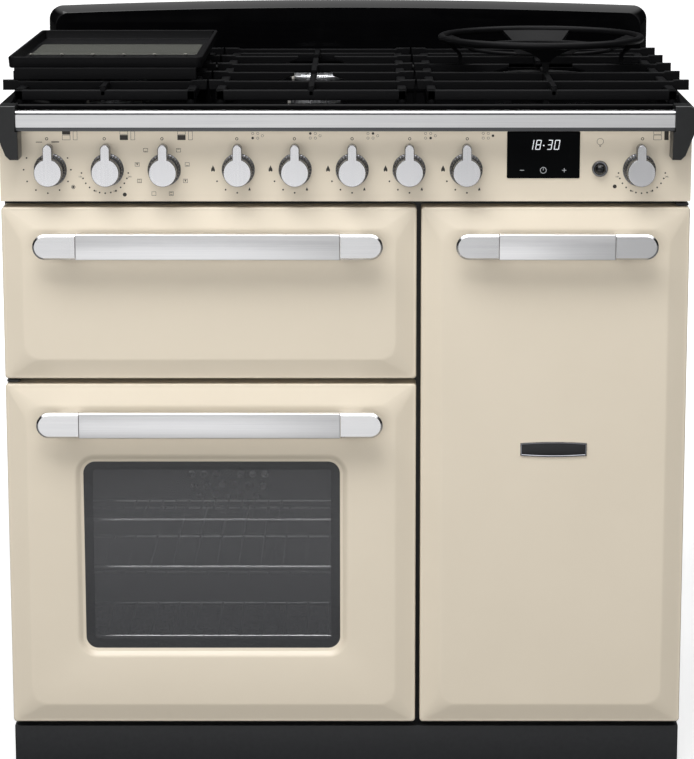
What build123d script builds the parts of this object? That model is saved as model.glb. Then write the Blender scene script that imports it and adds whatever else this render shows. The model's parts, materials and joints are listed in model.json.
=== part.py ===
from build123d import *
import os
from math import cos, radians, sin

# A range cooker 900 mm wide with a five-burner gas hob, a drop-front grill and two ovens.
# X runs to the right seen from the front, Y to the back and Z up, with the floor at Z 0.
# A value ending in _D is a depth counted back from the plane of the door edges.

# Overall sizes
BODY_W = 892.0
BODY_DEPTH = 608.0
HANDLE_REACH = 45.0
SHEET = 2.0
FIT = 0.3
RUN = 0.08
PRESS = 0.02
CUT = 1.0

# Front layout
PLINTH_CLEAR = 10.0
PLINTH_H = 57.0
PLINTH_D = 12.0
PLINTH_GAP = 9.0
OVEN_DOOR_H = 462.0
GRILL_DOOR_H = 226.0
DOOR_GAP_Z = 7.5
LEFT_DOOR_W = 538.0
DOOR_GAP_X = 6.0
FASCIA_GAP = 8.0
FASCIA_H = 115.5
HOB_RIM_H = 10.0

# Doors
DOOR_T = 38.0
DOOR_RISE = 9.0
DOOR_BEVEL = 27.0
DOOR_EDGE_R = 4.0
DOOR_FLAT_R = 22.0
LINER_T = 4.0
SEAL_GAP = 3.0
SEAL_W = 8.0
WINDOW_W = 338.0
WINDOW_H = 255.0
WINDOW_Z = 103.5
WINDOW_R = 16.0
WINDOW_BEVEL = 12.0
WINDOW_SINK = 7.0
GLASS_T = 4.0
GLASS_LAP = 10.0

# Door hinges
HINGE_IN = 9.0
HINGE_D = 20.0
HINGE_PIN_R = 4.0
HINGE_PLATE_T = 2.5
HINGE_PIN_L = 14.0
HINGE_BLOCK = 20.0
HINGE_CLEAR = 0.9
DROP_PIN_R = 3.0
DROP_UP = 6.0
DROP_D = 8.0
DROP_IN = 30.0
LUG_T = 4.0
LUG_R = 4.0
LUG_CLEAR = 1.0
DROP_BLOCK_W = 8.0
DROP_WALL = 4.0

# Wire rack on the oven door
RACK_OUT = 8.0
RACK_UP = 160.0
RACK_REACH = 130.0
RACK_LOOP_IN = 24.0
RACK_LOOP_LEFT = 112.5
RACK_LOOP_RIGHT = 137.5
RACK_FINE_R = 1.6
RACK_LOOP_R = 50.0
RACK_WIRES = 11

# Handles
HANDLE_H = 33.0
HANDLE_T = 12.0
HANDLE_END = 55.0
HANDLE_EDGE = 2.5
HANDLE_IN = 44.0
HANDLE_DOWN = 45.5
OVEN_HANDLE_DOWN = 46.5
POST_L = 26.0
POST_H = 20.0

# Carcass
FRAME_T = 3.0
FRAME_RISE = 12.0
BASE_BOTTOM = 24.0
RAIL_W = 30.0
INLET_REACH = 12.0
MOTOR_CLEAR = 46.0
GRILL_SHORT = 26.0
WOOL_T = 18.0
WOOL_SHORT = 40.0
GRILL_MARGIN = (44.0, 40.0, 22.0)
OVEN_MARGIN = (44.0, 36.0, 34.0)
TALL_MARGIN = (36.0, 36.0, 30.0)
VENT_ROWS = 5
VENT_PITCH = 18.0
VENT_DOWN = 40.0
VENT_L = 80.0
VENT_H = 6.0
VENT_SHARES = (-0.6, -0.2, 0.2, 0.6)
COVER_IN = 106.0
COVER_W = 100.0
COVER_H = 90.0
COVER_Z = 180.0
COVER_T = 11.5
GLAND_R = 4.0
GLAND_L = 20.0
GLAND_D = 6.0

# Oven fittings
LADDER_R = 3.0
LADDER_OUT = 12.0
LADDER_RUNG_R = 2.4
LADDER_FRONT = 10.0
LADDER_SHORT = 20.0
LADDER_FOOT = 30.0
LADDER_HEAD = 60.0
SHELF_R = 3.0
SHELF_CROSS_R = 2.7
WIRE_R = 2.0
SHELF_D = 96.0
SHELF_SHORT = 126.0
SHELF_WIRES = 13
FAN_R = 62.0
FAN_T = 22.0
FAN_CHAMBER = 42.0
FAN_GAP = 8.0
FAN_HUB_R = 10.0
FAN_BLADES = 8
FAN_BLADE_L = 38.44
FAN_BLADE_R = 40.92
FAN_HOLES = ((18.0, 6), (36.0, 12), (54.0, 18))
FAN_HOLE_R = 5.5
FAN_SLOT_IN = 24.0
FAN_SLOT_W = 10.0
FAN_SLOT_H = 28.0
FAN_SLOT_STEPS = (-80.0, -40.0, 0.0, 40.0, 80.0)
MOTOR_R = 38.0
MOTOR_L = 46.0
MOTOR_END = 4.0
SHAFT_R = 4.0
RING_R = 84.0
ELEMENT_R = 4.0
ELEMENT_PITCH = 42.0
ELEMENT_RUNS = 6
ELEMENT_DOWN = 14.0
ELEMENT_OUT = 14.0
GRILL_ELEMENT_X = 110.0
GRILL_ELEMENT_IN = 60.0
GRILL_ELEMENT_SHORT = 90.0
ROOF_ELEMENT_FRONT = 50.0
ROOF_ELEMENT_BACK = 40.0
RING_LEG_X = 14.0
LAMP_IN = 90.0
LAMP_R = 18.0
LAMP_LENS_T = 16.0
LAMP_LENS_OVER = 8.0
LAMP_SOCKET_H = 34.0
LAMP_EDGE = 6.0
LAMP_ROOM = 40.0
OVEN_RISES = (49.0, 147.0, 237.0, 312.0)
TALL_RISES = (70.0, 180.0, 290.0, 400.0, 510.0)

# Grill pan
PAN_D = 80.0
PAN_SHORT = 90.0
PAN_H = 40.0
PAN_UP = 104.0
RUNNER_W = 8.0
RUNNER_H = 20.0
RUNNER_DOWN = 12.0
RUNNER_FRONT = 8.0
RUNNER_BACK = 10.0
CARRIAGE_BAR = 8.0
CARRIAGE_SIDE_H = 16.0
CARRIAGE_CROSS_H = 12.0
TRIVET_DOWN = 8.0
TRIVET_IN = 12.0
TRIVET_WIRES = 12

# Controls
KNOB_R = 16.5
KNOB_REACH = 36.0
KNOB_LEVER = 36.0
KNOB_LEVER_W = 10.8
KNOB_LEVER_T = 20.0
KNOB_UP = 41.0
KNOB_GAP = 0.5
KNOB_PITCH = 73.5
GAS_KNOB_COUNT = 5
OVEN_KNOB_IN = 65.0
GAS_KNOB_IN = 307.5
TALL_KNOB_IN = 67.0
BEZEL_R = 20.5
BEZEL_T = 6.0
SPINDLE_R = 3.0
SPINDLE_L = 30.0
TAP_W = 26.0
TAP_L = 50.0
SWITCH_TOP_CUT = 4.0
LIGHT_SWITCH_W = 24.0
FASCIA_FLANGE = 30.0
SWITCH_W = 40.0
BUTTON_IN = 118.0
BUTTON_UP = 42.5
BUTTON_R = 7.0
BUTTON_RING_R = 10.4
BUTTON_TRAVEL = 3.0
BUTTON_STEM = 10.0
CLOCK_IN = 191.0
CLOCK_UP = 60.5
CLOCK_W = 94.0
CLOCK_H = 61.0
CLOCK_PROUD = 1.5
CLOCK_LAP = 6.0
CLOCK_R = 1.5
CLOCK_UNIT_L = 30.0
MANIFOLD_R = 8.0
INLET_IN = 56.0
INLET_R = 10.48
INLET_L = 30.0

# Towel rail
RAIL_END = 25.6
RAIL_H = 26.8
RAIL_FACE = 38.0
RAIL_DEPTH = 16.0
RAIL_CHAMFER = 6.4
RAIL_UP = 95.0
BRACKET_TOP = 12.0
BRACKET_DROP = 71.0
BRACKET_PROUD = 3.0
BRACKET_INNER = 5.0
BRACKET_NOSE = 6.0
BRACKET_NOSE_DROP = 4.0
BRACKET_TAPER = 12.0
BRACKET_TAPER_DROP = 31.0
BRACKET_FOOT = 17.6
BRACKET_LEDGE = 0.5

# Hob
HOB_FLOOR = 3.0
HOB_RIM_W = 16.0
UPSTAND_BACK = 6.0
SUPPORT_TOP = 23.0
LEFT_SUPPORT_W = 265.0
RIGHT_SUPPORT_W = 354.0
SUPPORT_OVER = 4.0
SUPPORT_GAP = 2.0
BAR_W = 8.0
BAR_H = 13.5
BAR_FIRST_D = 88.0
BAR_LAST_IN = 20.0
BAR_COUNT = 5
BAR_END = 13.0
SUPPORT_FRAME_H = 13.5
SUPPORT_FRAME_W = 12.0
SUPPORT_LAP = 6.5
SUPPORT_LUG_L = 20.0
SUPPORT_LUG_H = 1.6
SUPPORT_FRONT_IN = 6.0
SUPPORT_EDGE_IN = 2.0
SUPPORT_FOOT_R = 6.0
BURNER_R = 36.0
WOK_BURNER_R = 62.0
CROWN_H = 9.0
CAP_T = 5.5
CAP_EDGE = 2.5
CAP_OVER = 1.0
BURNER_NECK = 6.0
BURNER_DROP = 18.0
BURNER_FLANGE = 5.0
BURNER_FLANGE_T = 3.0
FINGER_R = 26.0
WOK_FINGER_R = 44.0
PIN_R = 2.0
PIN_OUT = 10.0
PIN_OVER = 2.0
PIN_ANGLES = (45, 225)
GRIDDLE_H = 15.0
GRIDDLE_LIFT = 15.0
GRIDDLE_OVERHANG = 70.0
GRIDDLE_BARS = (0, 3)
GRIDDLE_FLOOR = 2.5
GRIDDLE_SKIRT_IN = 8.0
GRIDDLE_IN = 7.0
GRIDDLE_WALL = 5.0
GRIDDLE_RIBS = 6
GRIDDLE_RIB_W = 4.0
GRIDDLE_RIB_LOW = 1.5
GRIDDLE_RIB_HIGH = 4.5
WOK_RING_R = 140.0
WOK_RING_INNER_R = 94.0
WOK_RING_H = 40.0
WOK_LEG_R = 112.0
WOK_LEG_W = 16.0
WOK_LEG_DOWN = 14.0
WOK_LIP = 8.0
WOK_RIM_H = 7.0
WOK_STEP = 12.0
WOK_INNER_DROP = 14.0
WOK_INNER_TOP = 6.0
WOK_CONE = 22.0
WOK_WALL = 5.0
WOK_WINDOW = (22.0, 90.0, 40.0)
WOK_WINDOW_DOWN = 15.0
UPSTAND_T = 18.0
UPSTAND_H = 82.0
UPSTAND_ARCH = 8.0
UPSTAND_IN = 6.0
UPSTAND_R = 20.0
UPSTAND_EDGE = 10.0

# Rollers and feet
ROLLER_R = 18.0
ROLLER_W = 24.0
ROLLER_IN = 66.0
ROLLER_BACK = 56.0
ROLLER_GAP = 0.5
FORK_W = 24.0
FORK_DROP = 10.0
AXLE_R = 4.0
FOOT_R = 20.0
FOOT_T = 8.0
STEM_R = 6.0
BOSS_R = 13.0
FOOT_D = 60.0

# Values worked out from the sizes above
HALF = BODY_W / 2
DOOR_Y = HANDLE_REACH - (BODY_DEPTH + HANDLE_REACH) / 2
PLINTH_TOP = PLINTH_CLEAR + PLINTH_H
BASE_TOP = PLINTH_TOP - SHEET - 1.0
DOOR_BOTTOM = PLINTH_TOP + PLINTH_GAP
OVEN_TOP = DOOR_BOTTOM + OVEN_DOOR_H
GRILL_BOTTOM = OVEN_TOP + DOOR_GAP_Z
DOOR_TOP = GRILL_BOTTOM + GRILL_DOOR_H
FASCIA_BOTTOM = DOOR_TOP + FASCIA_GAP
FASCIA_TOP = FASCIA_BOTTOM + FASCIA_H
HOB_TOP = FASCIA_TOP + HOB_RIM_H
HOB_BED = FASCIA_TOP + HOB_FLOOR
LEFT_X1 = -HALF + LEFT_DOOR_W
TALL_X0 = LEFT_X1 + DOOR_GAP_X
GRILL_DOOR = (-HALF, LEFT_X1, GRILL_BOTTOM, DOOR_TOP)
OVEN_DOOR = (-HALF, LEFT_X1, DOOR_BOTTOM, OVEN_TOP)
TALL_DOOR = (TALL_X0, HALF, DOOR_BOTTOM, DOOR_TOP)
FRAME_D = DOOR_T + SEAL_GAP
CAVITY_D = FRAME_D + FRAME_T
BACK_D = BODY_DEPTH - INLET_REACH
OVEN_BACK_D = BACK_D - MOTOR_CLEAR - MOTOR_L - 2 * SHEET
OVEN_CAVITY_DEPTH = OVEN_BACK_D - CAVITY_D
GRILL_CAVITY_DEPTH = OVEN_CAVITY_DEPTH - GRILL_SHORT
GRILL_BACK_D = CAVITY_D + GRILL_CAVITY_DEPTH
SHELF_DEPTH = OVEN_CAVITY_DEPTH - SHELF_SHORT
PAN_DEPTH = GRILL_CAVITY_DEPTH - PAN_SHORT
HOB_DEPTH = BACK_D - UPSTAND_BACK - UPSTAND_T
BAR_PITCH = (HOB_DEPTH - BAR_FIRST_D - BAR_LAST_IN) / (BAR_COUNT - 1)
GRIDDLE_DEPTH = 3 * BAR_PITCH + GRIDDLE_OVERHANG
ROLLER_D = BACK_D - ROLLER_BACK
KNOB_Z = FASCIA_BOTTOM + KNOB_UP
OVEN_KNOB_X = -HALF + OVEN_KNOB_IN
GAS_KNOB_X = -HALF + GAS_KNOB_IN
TALL_KNOB_X = HALF - TALL_KNOB_IN
BUTTON_X = HALF - BUTTON_IN
BUTTON_Z = FASCIA_BOTTOM + BUTTON_UP
CLOCK_X = HALF - CLOCK_IN
CLOCK_Z = FASCIA_BOTTOM + CLOCK_UP
CLOCK = (CLOCK_X - CLOCK_W / 2, CLOCK_X + CLOCK_W / 2, CLOCK_Z - CLOCK_H / 2, CLOCK_Z + CLOCK_H / 2)
INLET_X = HALF - INLET_IN
OVEN_KNOBS = {
    "grill_knob": OVEN_KNOB_X,
    "main_oven_temperature_knob": OVEN_KNOB_X + KNOB_PITCH,
    "main_oven_function_knob": OVEN_KNOB_X + 2 * KNOB_PITCH,
    "tall_oven_knob": TALL_KNOB_X,
}
GAS_KNOBS = {f"gas_knob_{i + 1}": GAS_KNOB_X + i * KNOB_PITCH for i in range(GAS_KNOB_COUNT)}
PAN_Z = GRILL_BOTTOM + PAN_UP
SUPPORT_Z = HOB_TOP + SUPPORT_TOP
BAR_Z = SUPPORT_Z - SUPPORT_LUG_H
SUPPORT_SPLIT_LEFT = -HALF + LEFT_SUPPORT_W
SUPPORT_SPLIT_RIGHT = HALF - RIGHT_SUPPORT_W
BURNER_X = {
    "left": (-HALF + SUPPORT_SPLIT_LEFT) / 2,
    "centre": (SUPPORT_SPLIT_LEFT + SUPPORT_SPLIT_RIGHT) / 2,
    "right": (SUPPORT_SPLIT_RIGHT + HALF) / 2,
}
BURNER_FRONT_D = BAR_FIRST_D + BAR_PITCH
BURNER_MID_D = BAR_FIRST_D + 2 * BAR_PITCH
BURNER_BACK_D = BAR_FIRST_D + 3 * BAR_PITCH
BURNERS = [
    (BURNER_X["left"], BURNER_FRONT_D, BURNER_R, FINGER_R),
    (BURNER_X["left"], BURNER_BACK_D, BURNER_R, FINGER_R),
    (BURNER_X["centre"], BURNER_FRONT_D, BURNER_R, FINGER_R),
    (BURNER_X["centre"], BURNER_BACK_D, BURNER_R, FINGER_R),
    (BURNER_X["right"], BURNER_MID_D, WOK_BURNER_R, WOK_FINGER_R),
]
CROWN_Z = HOB_BED + CROWN_H
CAP_Z = CROWN_Z + CAP_T


def at(x, d, z):
    """Location of a point given by x, its depth behind the door plane and z."""
    return Pos(x, DOOR_Y + d, z)


def block(x0, x1, d0, d1, z0, z1):
    """Box between two corners."""
    return at((x0 + x1) / 2, (d0 + d1) / 2, (z0 + z1) / 2) * Box(x1 - x0, d1 - d0, z1 - z0)


def rod_x(x0, x1, d, z, r):
    """Round bar along X."""
    return at((x0 + x1) / 2, d, z) * Rot(0, 90, 0) * Cylinder(r, x1 - x0)


def rod_y(x, d0, d1, z, r):
    """Round bar along Y."""
    return at(x, (d0 + d1) / 2, z) * Rot(90, 0, 0) * Cylinder(r, d1 - d0)


def rod_z(x, d, z0, z1, r):
    """Round bar along Z."""
    return at(x, d, (z0 + z1) / 2) * Cylinder(r, z1 - z0)


def merge(shapes):
    """One shape fused from a list."""
    return shapes[0] + shapes[1:]


def shrink(rect, side, bottom=None, top=None):
    """Front-view rectangle (x0, x1, z0, z1) drawn in by margins; one margin serves all sides."""
    x0, x1, z0, z1 = rect
    low = side if bottom is None else bottom
    high = side if top is None else top
    return (x0 + side, x1 - side, z0 + low, z1 - high)


def facing(rect, d):
    """Plane at depth d, centred on a front-view rectangle and looking to the front."""
    x0, x1, z0, z1 = rect
    origin = ((x0 + x1) / 2, DOOR_Y + d, (z0 + z1) / 2)
    return Plane(origin, x_dir=(1, 0, 0), z_dir=(0, -1, 0))


def outline(rect, r):
    """Rounded rectangle of a front-view rectangle's size."""
    return RectangleRounded(rect[1] - rect[0], rect[3] - rect[2], r)


def panel(rect, r, d_front, d_back):
    """Upright plate with rounded corners between two depths."""
    return extrude(facing(rect, d_back) * outline(rect, r), amount=d_back - d_front)


def box_panel(rect, d_front, d_back):
    """Upright plate with square corners between two depths."""
    return block(rect[0], rect[1], d_front, d_back, rect[2], rect[3])


def slope(rect_back, r_back, d_back, rect_front, r_front, d_front):
    """Solid that tapers from one rounded rectangle to another nearer the front."""
    back = facing(rect_back, d_back) * outline(rect_back, r_back)
    front = facing(rect_front, d_front) * outline(rect_front, r_front)
    return loft([back, front])


def front_prism(points, d_front, d_back):
    """Prism whose outline is drawn in front view as (x, z) points."""
    plane = Plane((0, DOOR_Y + d_back, 0), x_dir=(1, 0, 0), z_dir=(0, -1, 0))
    return extrude(plane * Polygon(*points, align=None), amount=d_back - d_front, dir=plane.z_dir)


def side_prism(points, x0, x1):
    """Prism along X whose outline is drawn in side view as (depth, z) points."""
    plane = Plane((x0, DOOR_Y, 0), x_dir=(0, 1, 0), z_dir=(1, 0, 0))
    return extrude(plane * Polygon(*points, align=None), amount=x1 - x0, dir=plane.z_dir)


def save(name, *shapes):
    """Write a node as the separate solids of its shapes."""
    solids = [solid for shape in shapes for solid in shape.solids()]
    export_step(Compound(solids), f"parts/{name}.step")


# Cavity mouths follow the doors that close them
GRILL_MOUTH = shrink(GRILL_DOOR, *GRILL_MARGIN)
OVEN_MOUTH = shrink(OVEN_DOOR, *OVEN_MARGIN)
TALL_MOUTH = shrink(TALL_DOOR, *TALL_MARGIN)
MOUTHS = (GRILL_MOUTH, OVEN_MOUTH, TALL_MOUTH)
WINDOW_X = (OVEN_DOOR[0] + OVEN_DOOR[1]) / 2
WINDOW_BASE = DOOR_BOTTOM + WINDOW_Z
WINDOW = (WINDOW_X - WINDOW_W / 2, WINDOW_X + WINDOW_W / 2, WINDOW_BASE, WINDOW_BASE + WINDOW_H)
GLASS_D = WINDOW_SINK - DOOR_RISE
LINER_D = DOOR_T - LINER_T
HINGE_X = {"left": -HALF + HINGE_IN, "right": HALF - HINGE_IN}
HINGE_FOOT_Z = DOOR_BOTTOM - FIT * 2 - HINGE_PLATE_T
OVEN_HINGES = [(HINGE_X["left"], HINGE_FOOT_Z, 1), (HINGE_X["left"], OVEN_TOP + FIT * 3, -1)]
TALL_HINGES = [(HINGE_X["right"], HINGE_FOOT_Z, 1), (HINGE_X["right"], DOOR_TOP + FIT * 3, -1)]
DROP_Z = GRILL_BOTTOM + DROP_UP
DROP_XS = (-HALF + DROP_IN, LEFT_X1 - DROP_IN)
LAMP_X = WINDOW_X
LAMP_D = CAVITY_D + LAMP_IN
GRILL_ELEMENT_Z = GRILL_MOUTH[3] - ELEMENT_DOWN
OVEN_ELEMENT_Z = OVEN_MOUTH[3] - ELEMENT_DOWN
OVEN_LEVELS = [OVEN_MOUTH[2] + rise for rise in OVEN_RISES]
TALL_LEVELS = [TALL_MOUTH[2] + rise for rise in TALL_RISES]


# Doors

def door_skin(rect, holes):
    """Pressed skin: folded edges, a sloping border and a raised flat, open at the back."""
    flat = shrink(rect, DOOR_BEVEL)
    inner = shrink(rect, SHEET)
    inner_r = DOOR_EDGE_R - SHEET
    shell = panel(rect, DOOR_EDGE_R, 0, DOOR_T)
    shell += slope(rect, DOOR_EDGE_R, 0, flat, DOOR_FLAT_R, -DOOR_RISE)
    hollow = panel(inner, inner_r, SHEET, DOOR_T)
    hollow += slope(inner, inner_r, SHEET, flat, DOOR_FLAT_R, SHEET - DOOR_RISE)
    skin = shell - hollow
    for hole in holes:
        skin -= hole
    return skin


def door_liner(rect):
    """Flat inner panel that closes the back of a door skin."""
    return panel(shrink(rect, SHEET + FIT), DOOR_EDGE_R - SHEET, LINER_D, DOOR_T)


def hinge_hole(x, z0, z1, clear):
    """Hole for an upright hinge pin."""
    return rod_z(x, HINGE_D, z0, z1, HINGE_PIN_R + clear)


def swing_block(x, z0, z1):
    """Block inside a side-hung door that turns on a hinge pin, joined to the liner."""
    side = 1 if x < 0 else -1
    wall = side * (DOOR_EDGE_R - HALF)
    edges = sorted((wall, wall + side * HINGE_BLOCK))
    return block(edges[0], edges[1], HINGE_D - HINGE_BLOCK / 2, LINER_D, z0, z1)


def swing_liner(rect, x):
    """Liner of a side-hung door with its two hinge blocks bored for the pins."""
    low, high = rect[2], rect[3]
    lift = DOOR_EDGE_R
    body = merge([
        door_liner(rect),
        swing_block(x, low + lift, low + lift + HINGE_BLOCK),
        swing_block(x, high - lift - HINGE_BLOCK, high - lift),
    ])
    return body - [
        hinge_hole(x, low, low + HINGE_BLOCK, PRESS),
        hinge_hole(x, high - HINGE_BLOCK, high, PRESS),
    ]


def swing_pins(seats):
    """Upright hinge pins of a side-hung door, each from the frame's plate into the door's block."""
    pins = []
    for x, z0, way in seats:
        base = z0 if way > 0 else z0 + HINGE_PLATE_T
        tip = base + way * (HINGE_PLATE_T + HINGE_PIN_L)
        pins.append(rod_z(x, HINGE_D, min(base, tip), max(base, tip), HINGE_PIN_R))
    return pins


def swing_skin(rect, x):
    """Skin of a side-hung door with square clearance holes for its hinge pins."""
    low, high = rect[2], rect[3]
    depth = SHEET * 2
    half = HINGE_PIN_R + HINGE_CLEAR
    hole = (x - half, x + half, HINGE_D - half, HINGE_D + half)
    holes = [block(*hole, z - depth, z + depth) for z in (low, high)]
    return door_skin(rect, holes)


def lug_notch(x):
    """Space in the grill door's lower rear corner for a fixed hinge lug to turn in."""
    half = LUG_T / 2 + LUG_CLEAR
    high = DROP_Z + LUG_R + LUG_CLEAR
    return block(x - half, x + half, SHEET + FIT, DOOR_T + CUT, GRILL_BOTTOM - CUT, high)


def drop_blocks(x):
    """Two bored blocks of the grill door either side of a hinge lug."""
    near = LUG_T / 2 + LUG_CLEAR
    low = GRILL_BOTTOM + SHEET + FIT
    high = DROP_Z + DROP_PIN_R + DROP_WALL
    blocks = [
        block(x + near, x + near + DROP_BLOCK_W, SHEET + LUG_CLEAR, LINER_D, low, high),
        block(x - near - DROP_BLOCK_W, x - near, SHEET + LUG_CLEAR, LINER_D, low, high),
    ]
    reach = near + DROP_BLOCK_W + CUT
    return merge(blocks) - rod_x(x - reach, x + reach, DROP_D, DROP_Z, DROP_PIN_R + PRESS)


def drop_pin(x):
    """Level hinge pin of the grill door, through a lug and the two blocks beside it."""
    reach = LUG_T / 2 + LUG_CLEAR + DROP_BLOCK_W - FIT
    return rod_x(x - reach, x + reach, DROP_D, DROP_Z, DROP_PIN_R)


def handle(x0, x1, z):
    """Flat bar handle: a middle bar between two round-ended end pieces on posts."""
    front = -HANDLE_REACH
    back = front + HANDLE_T
    half = HANDLE_H / 2
    bar = block(x0 + HANDLE_END, x1 - HANDLE_END, front, back, z - half, z + half)
    ends = []
    for tip, seam in ((x0, x0 + HANDLE_END), (x1, x1 - HANDLE_END)):
        inward = 1 if seam > tip else -1
        centre = tip + inward * half
        cheek = block(min(centre, seam), max(centre, seam), front, back, z - half, z + half)
        cheek += rod_y(centre, front, back, z, half)
        cheek = chamfer(front_rim(cheek, front, seam), HANDLE_EDGE)
        post_x = seam - inward * POST_L
        ends.append(cheek + block(min(seam, post_x), max(seam, post_x), back, -DOOR_RISE,
                                  z - POST_H / 2, z + POST_H / 2))
    return [bar] + ends


def front_rim(shape, d, seam):
    """Front edges of a handle end, without the edge that meets the bar."""
    rim = shape.edges().filter_by_position(Axis.Y, DOOR_Y + d, DOOR_Y + d, inclusive=(True, True))
    return [edge for edge in rim if abs(edge.center().X - seam) > FIT]


def make_grill_door():
    """Grill door, which drops forward on two low hinge lugs."""
    notches = [lug_notch(x) for x in DROP_XS]
    save("grill_door_skin", door_skin(GRILL_DOOR, notches))
    liner = merge([door_liner(GRILL_DOOR) - notches] + [drop_blocks(x) for x in DROP_XS])
    save("grill_door_liner", liner, *[drop_pin(x) for x in DROP_XS])
    z = DOOR_TOP - HANDLE_DOWN
    save("grill_door_handle", *handle(GRILL_DOOR[0] + HANDLE_IN, GRILL_DOOR[1] - HANDLE_IN, z))


def make_oven_door():
    """Main oven door, hung on the left, with a double-glazed window and a wire rack inside."""
    skin = swing_skin(OVEN_DOOR, HINGE_X["left"])
    rim = shrink(WINDOW, -WINDOW_BEVEL)
    skin += panel(shrink(rim, -SHEET), WINDOW_R + WINDOW_BEVEL, SHEET / 2 - DOOR_RISE, GLASS_D)
    skin -= slope(WINDOW, WINDOW_R, GLASS_D - SHEET, rim, WINDOW_R + WINDOW_BEVEL, -DOOR_RISE)
    skin -= panel(WINDOW, WINDOW_R, -DOOR_RISE - CUT, GLASS_D + CUT)
    save("oven_door_skin", skin)
    liner = swing_liner(OVEN_DOOR, HINGE_X["left"])
    liner -= panel(WINDOW, WINDOW_R, LINER_D - CUT, DOOR_T + CUT)
    save("oven_door_liner", liner, *swing_pins(OVEN_HINGES))
    pane = shrink(WINDOW, -GLASS_LAP)
    pane_r = WINDOW_R + GLASS_LAP
    outer = panel(pane, pane_r, GLASS_D, GLASS_D + GLASS_T)
    inner = panel(pane, pane_r, LINER_D - GLASS_T, LINER_D)
    save("oven_door_glass", outer, inner)
    z = OVEN_TOP - OVEN_HANDLE_DOWN
    save("oven_door_handle", *handle(OVEN_DOOR[0] + HANDLE_IN, OVEN_DOOR[1] - HANDLE_IN, z))
    save("oven_door_rack", door_rack())


def door_rack():
    """Chrome wire rack on the inside of the main oven door, with a round-ended loop for a tin."""
    x0, x1 = WINDOW[0] - RACK_OUT, WINDOW[1] + RACK_OUT
    z = WINDOW_BASE + RACK_UP
    d1 = DOOR_T + RACK_REACH
    wires = [rod_y(x, DOOR_T, d1, z, WIRE_R) for x in (x0, x1)]
    wires += [rod_x(x0, x1, d, z, WIRE_R) for d in (DOOR_T + RACK_LOOP_IN, d1)]
    wires += [at(x, d1, z) * Sphere(WIRE_R) for x in (x0, x1)]
    loop_x0, loop_x1 = WINDOW_X - RACK_LOOP_LEFT, WINDOW_X + RACK_LOOP_RIGHT
    loop_d0 = DOOR_T + RACK_LOOP_IN
    step = (loop_x1 - RACK_LOOP_R - loop_x0) / RACK_WIRES
    wires += [rod_y(loop_x0 + step * i, loop_d0, d1, z, RACK_FINE_R) for i in range(RACK_WIRES + 1)]
    middle = (loop_d0 + d1) / 2
    bend = (d1 - loop_d0) / 2
    end = loop_x1 - bend
    bow = at(end, middle, z) * Torus(bend, WIRE_R)
    bow -= block(end - 2 * bend, end, loop_d0 - bend, d1 + bend, z - bend, z + bend)
    return merge(wires + [bow])


def make_tall_door():
    """Tall oven door, hung on the right."""
    save("tall_door_skin", swing_skin(TALL_DOOR, HINGE_X["right"]))
    save("tall_door_liner", swing_liner(TALL_DOOR, HINGE_X["right"]), *swing_pins(TALL_HINGES))
    z = DOOR_TOP - HANDLE_DOWN
    save("tall_door_handle", *handle(TALL_DOOR[0] + HANDLE_IN, TALL_DOOR[1] - HANDLE_IN, z))


# Carcass

def make_base():
    """Base frame of folded sheet with roller forks and foot bosses, the rollers, the feet and the plinth."""
    front = PLINTH_D + SHEET
    wall = HALF - SHEET
    rear = BACK_D - SHEET
    under = BASE_TOP - SHEET
    frame = [block(-wall, wall, front, rear, under, BASE_TOP)]
    for reach, z1 in ((SHEET, under), (RAIL_W, BASE_BOTTOM + SHEET)):
        frame += [
            block(-wall, wall, front, front + reach, BASE_BOTTOM, z1),
            block(-wall, wall, rear - reach, rear, BASE_BOTTOM, z1),
            block(-wall, reach - wall, front, rear, BASE_BOTTOM, z1),
            block(wall - reach, wall, front, rear, BASE_BOTTOM, z1),
        ]
    rollers = []
    feet = []
    stems = []
    for side in (-1, 1):
        x = side * (HALF - ROLLER_IN)
        for face in (-1, 1):
            edge = x + face * (ROLLER_W / 2 + ROLLER_GAP)
            far = edge + face * 2 * SHEET
            frame.append(block(min(edge, far), max(edge, far), ROLLER_D - FORK_W / 2, ROLLER_D + FORK_W / 2,
                               ROLLER_R - FORK_DROP, under))
        reach = ROLLER_W / 2 + 2 * SHEET
        frame.append(rod_x(x - reach, x + reach, ROLLER_D, ROLLER_R, AXLE_R))
        wheel = rod_x(x - ROLLER_W / 2, x + ROLLER_W / 2, ROLLER_D, ROLLER_R, ROLLER_R)
        rollers.append(wheel - rod_x(x - ROLLER_W, x + ROLLER_W, ROLLER_D, ROLLER_R, AXLE_R + RUN))
        frame.append(rod_z(x, FOOT_D, BASE_BOTTOM, under, BOSS_R))
        stems.append(rod_z(x, FOOT_D, BASE_BOTTOM - CUT, BASE_TOP + CUT, STEM_R + RUN))
        feet.append(rod_z(x, FOOT_D, 0, FOOT_T, FOOT_R) + rod_z(x, FOOT_D, FOOT_T, under, STEM_R))
    save("base_frame", merge(frame) - stems)
    save("rear_rollers", *rollers)
    save("front_feet", *feet)
    plinth = block(-HALF, HALF, PLINTH_D, front, PLINTH_CLEAR, PLINTH_TOP)
    plinth += block(-HALF, HALF, PLINTH_D, FRAME_D - CUT, PLINTH_TOP - SHEET, PLINTH_TOP)
    plinth += block(-HALF, -wall, PLINTH_D, FRAME_D, PLINTH_CLEAR, PLINTH_TOP)
    plinth += block(wall, HALF, PLINTH_D, FRAME_D, PLINTH_CLEAR, PLINTH_TOP)
    save("plinth", plinth)


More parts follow.
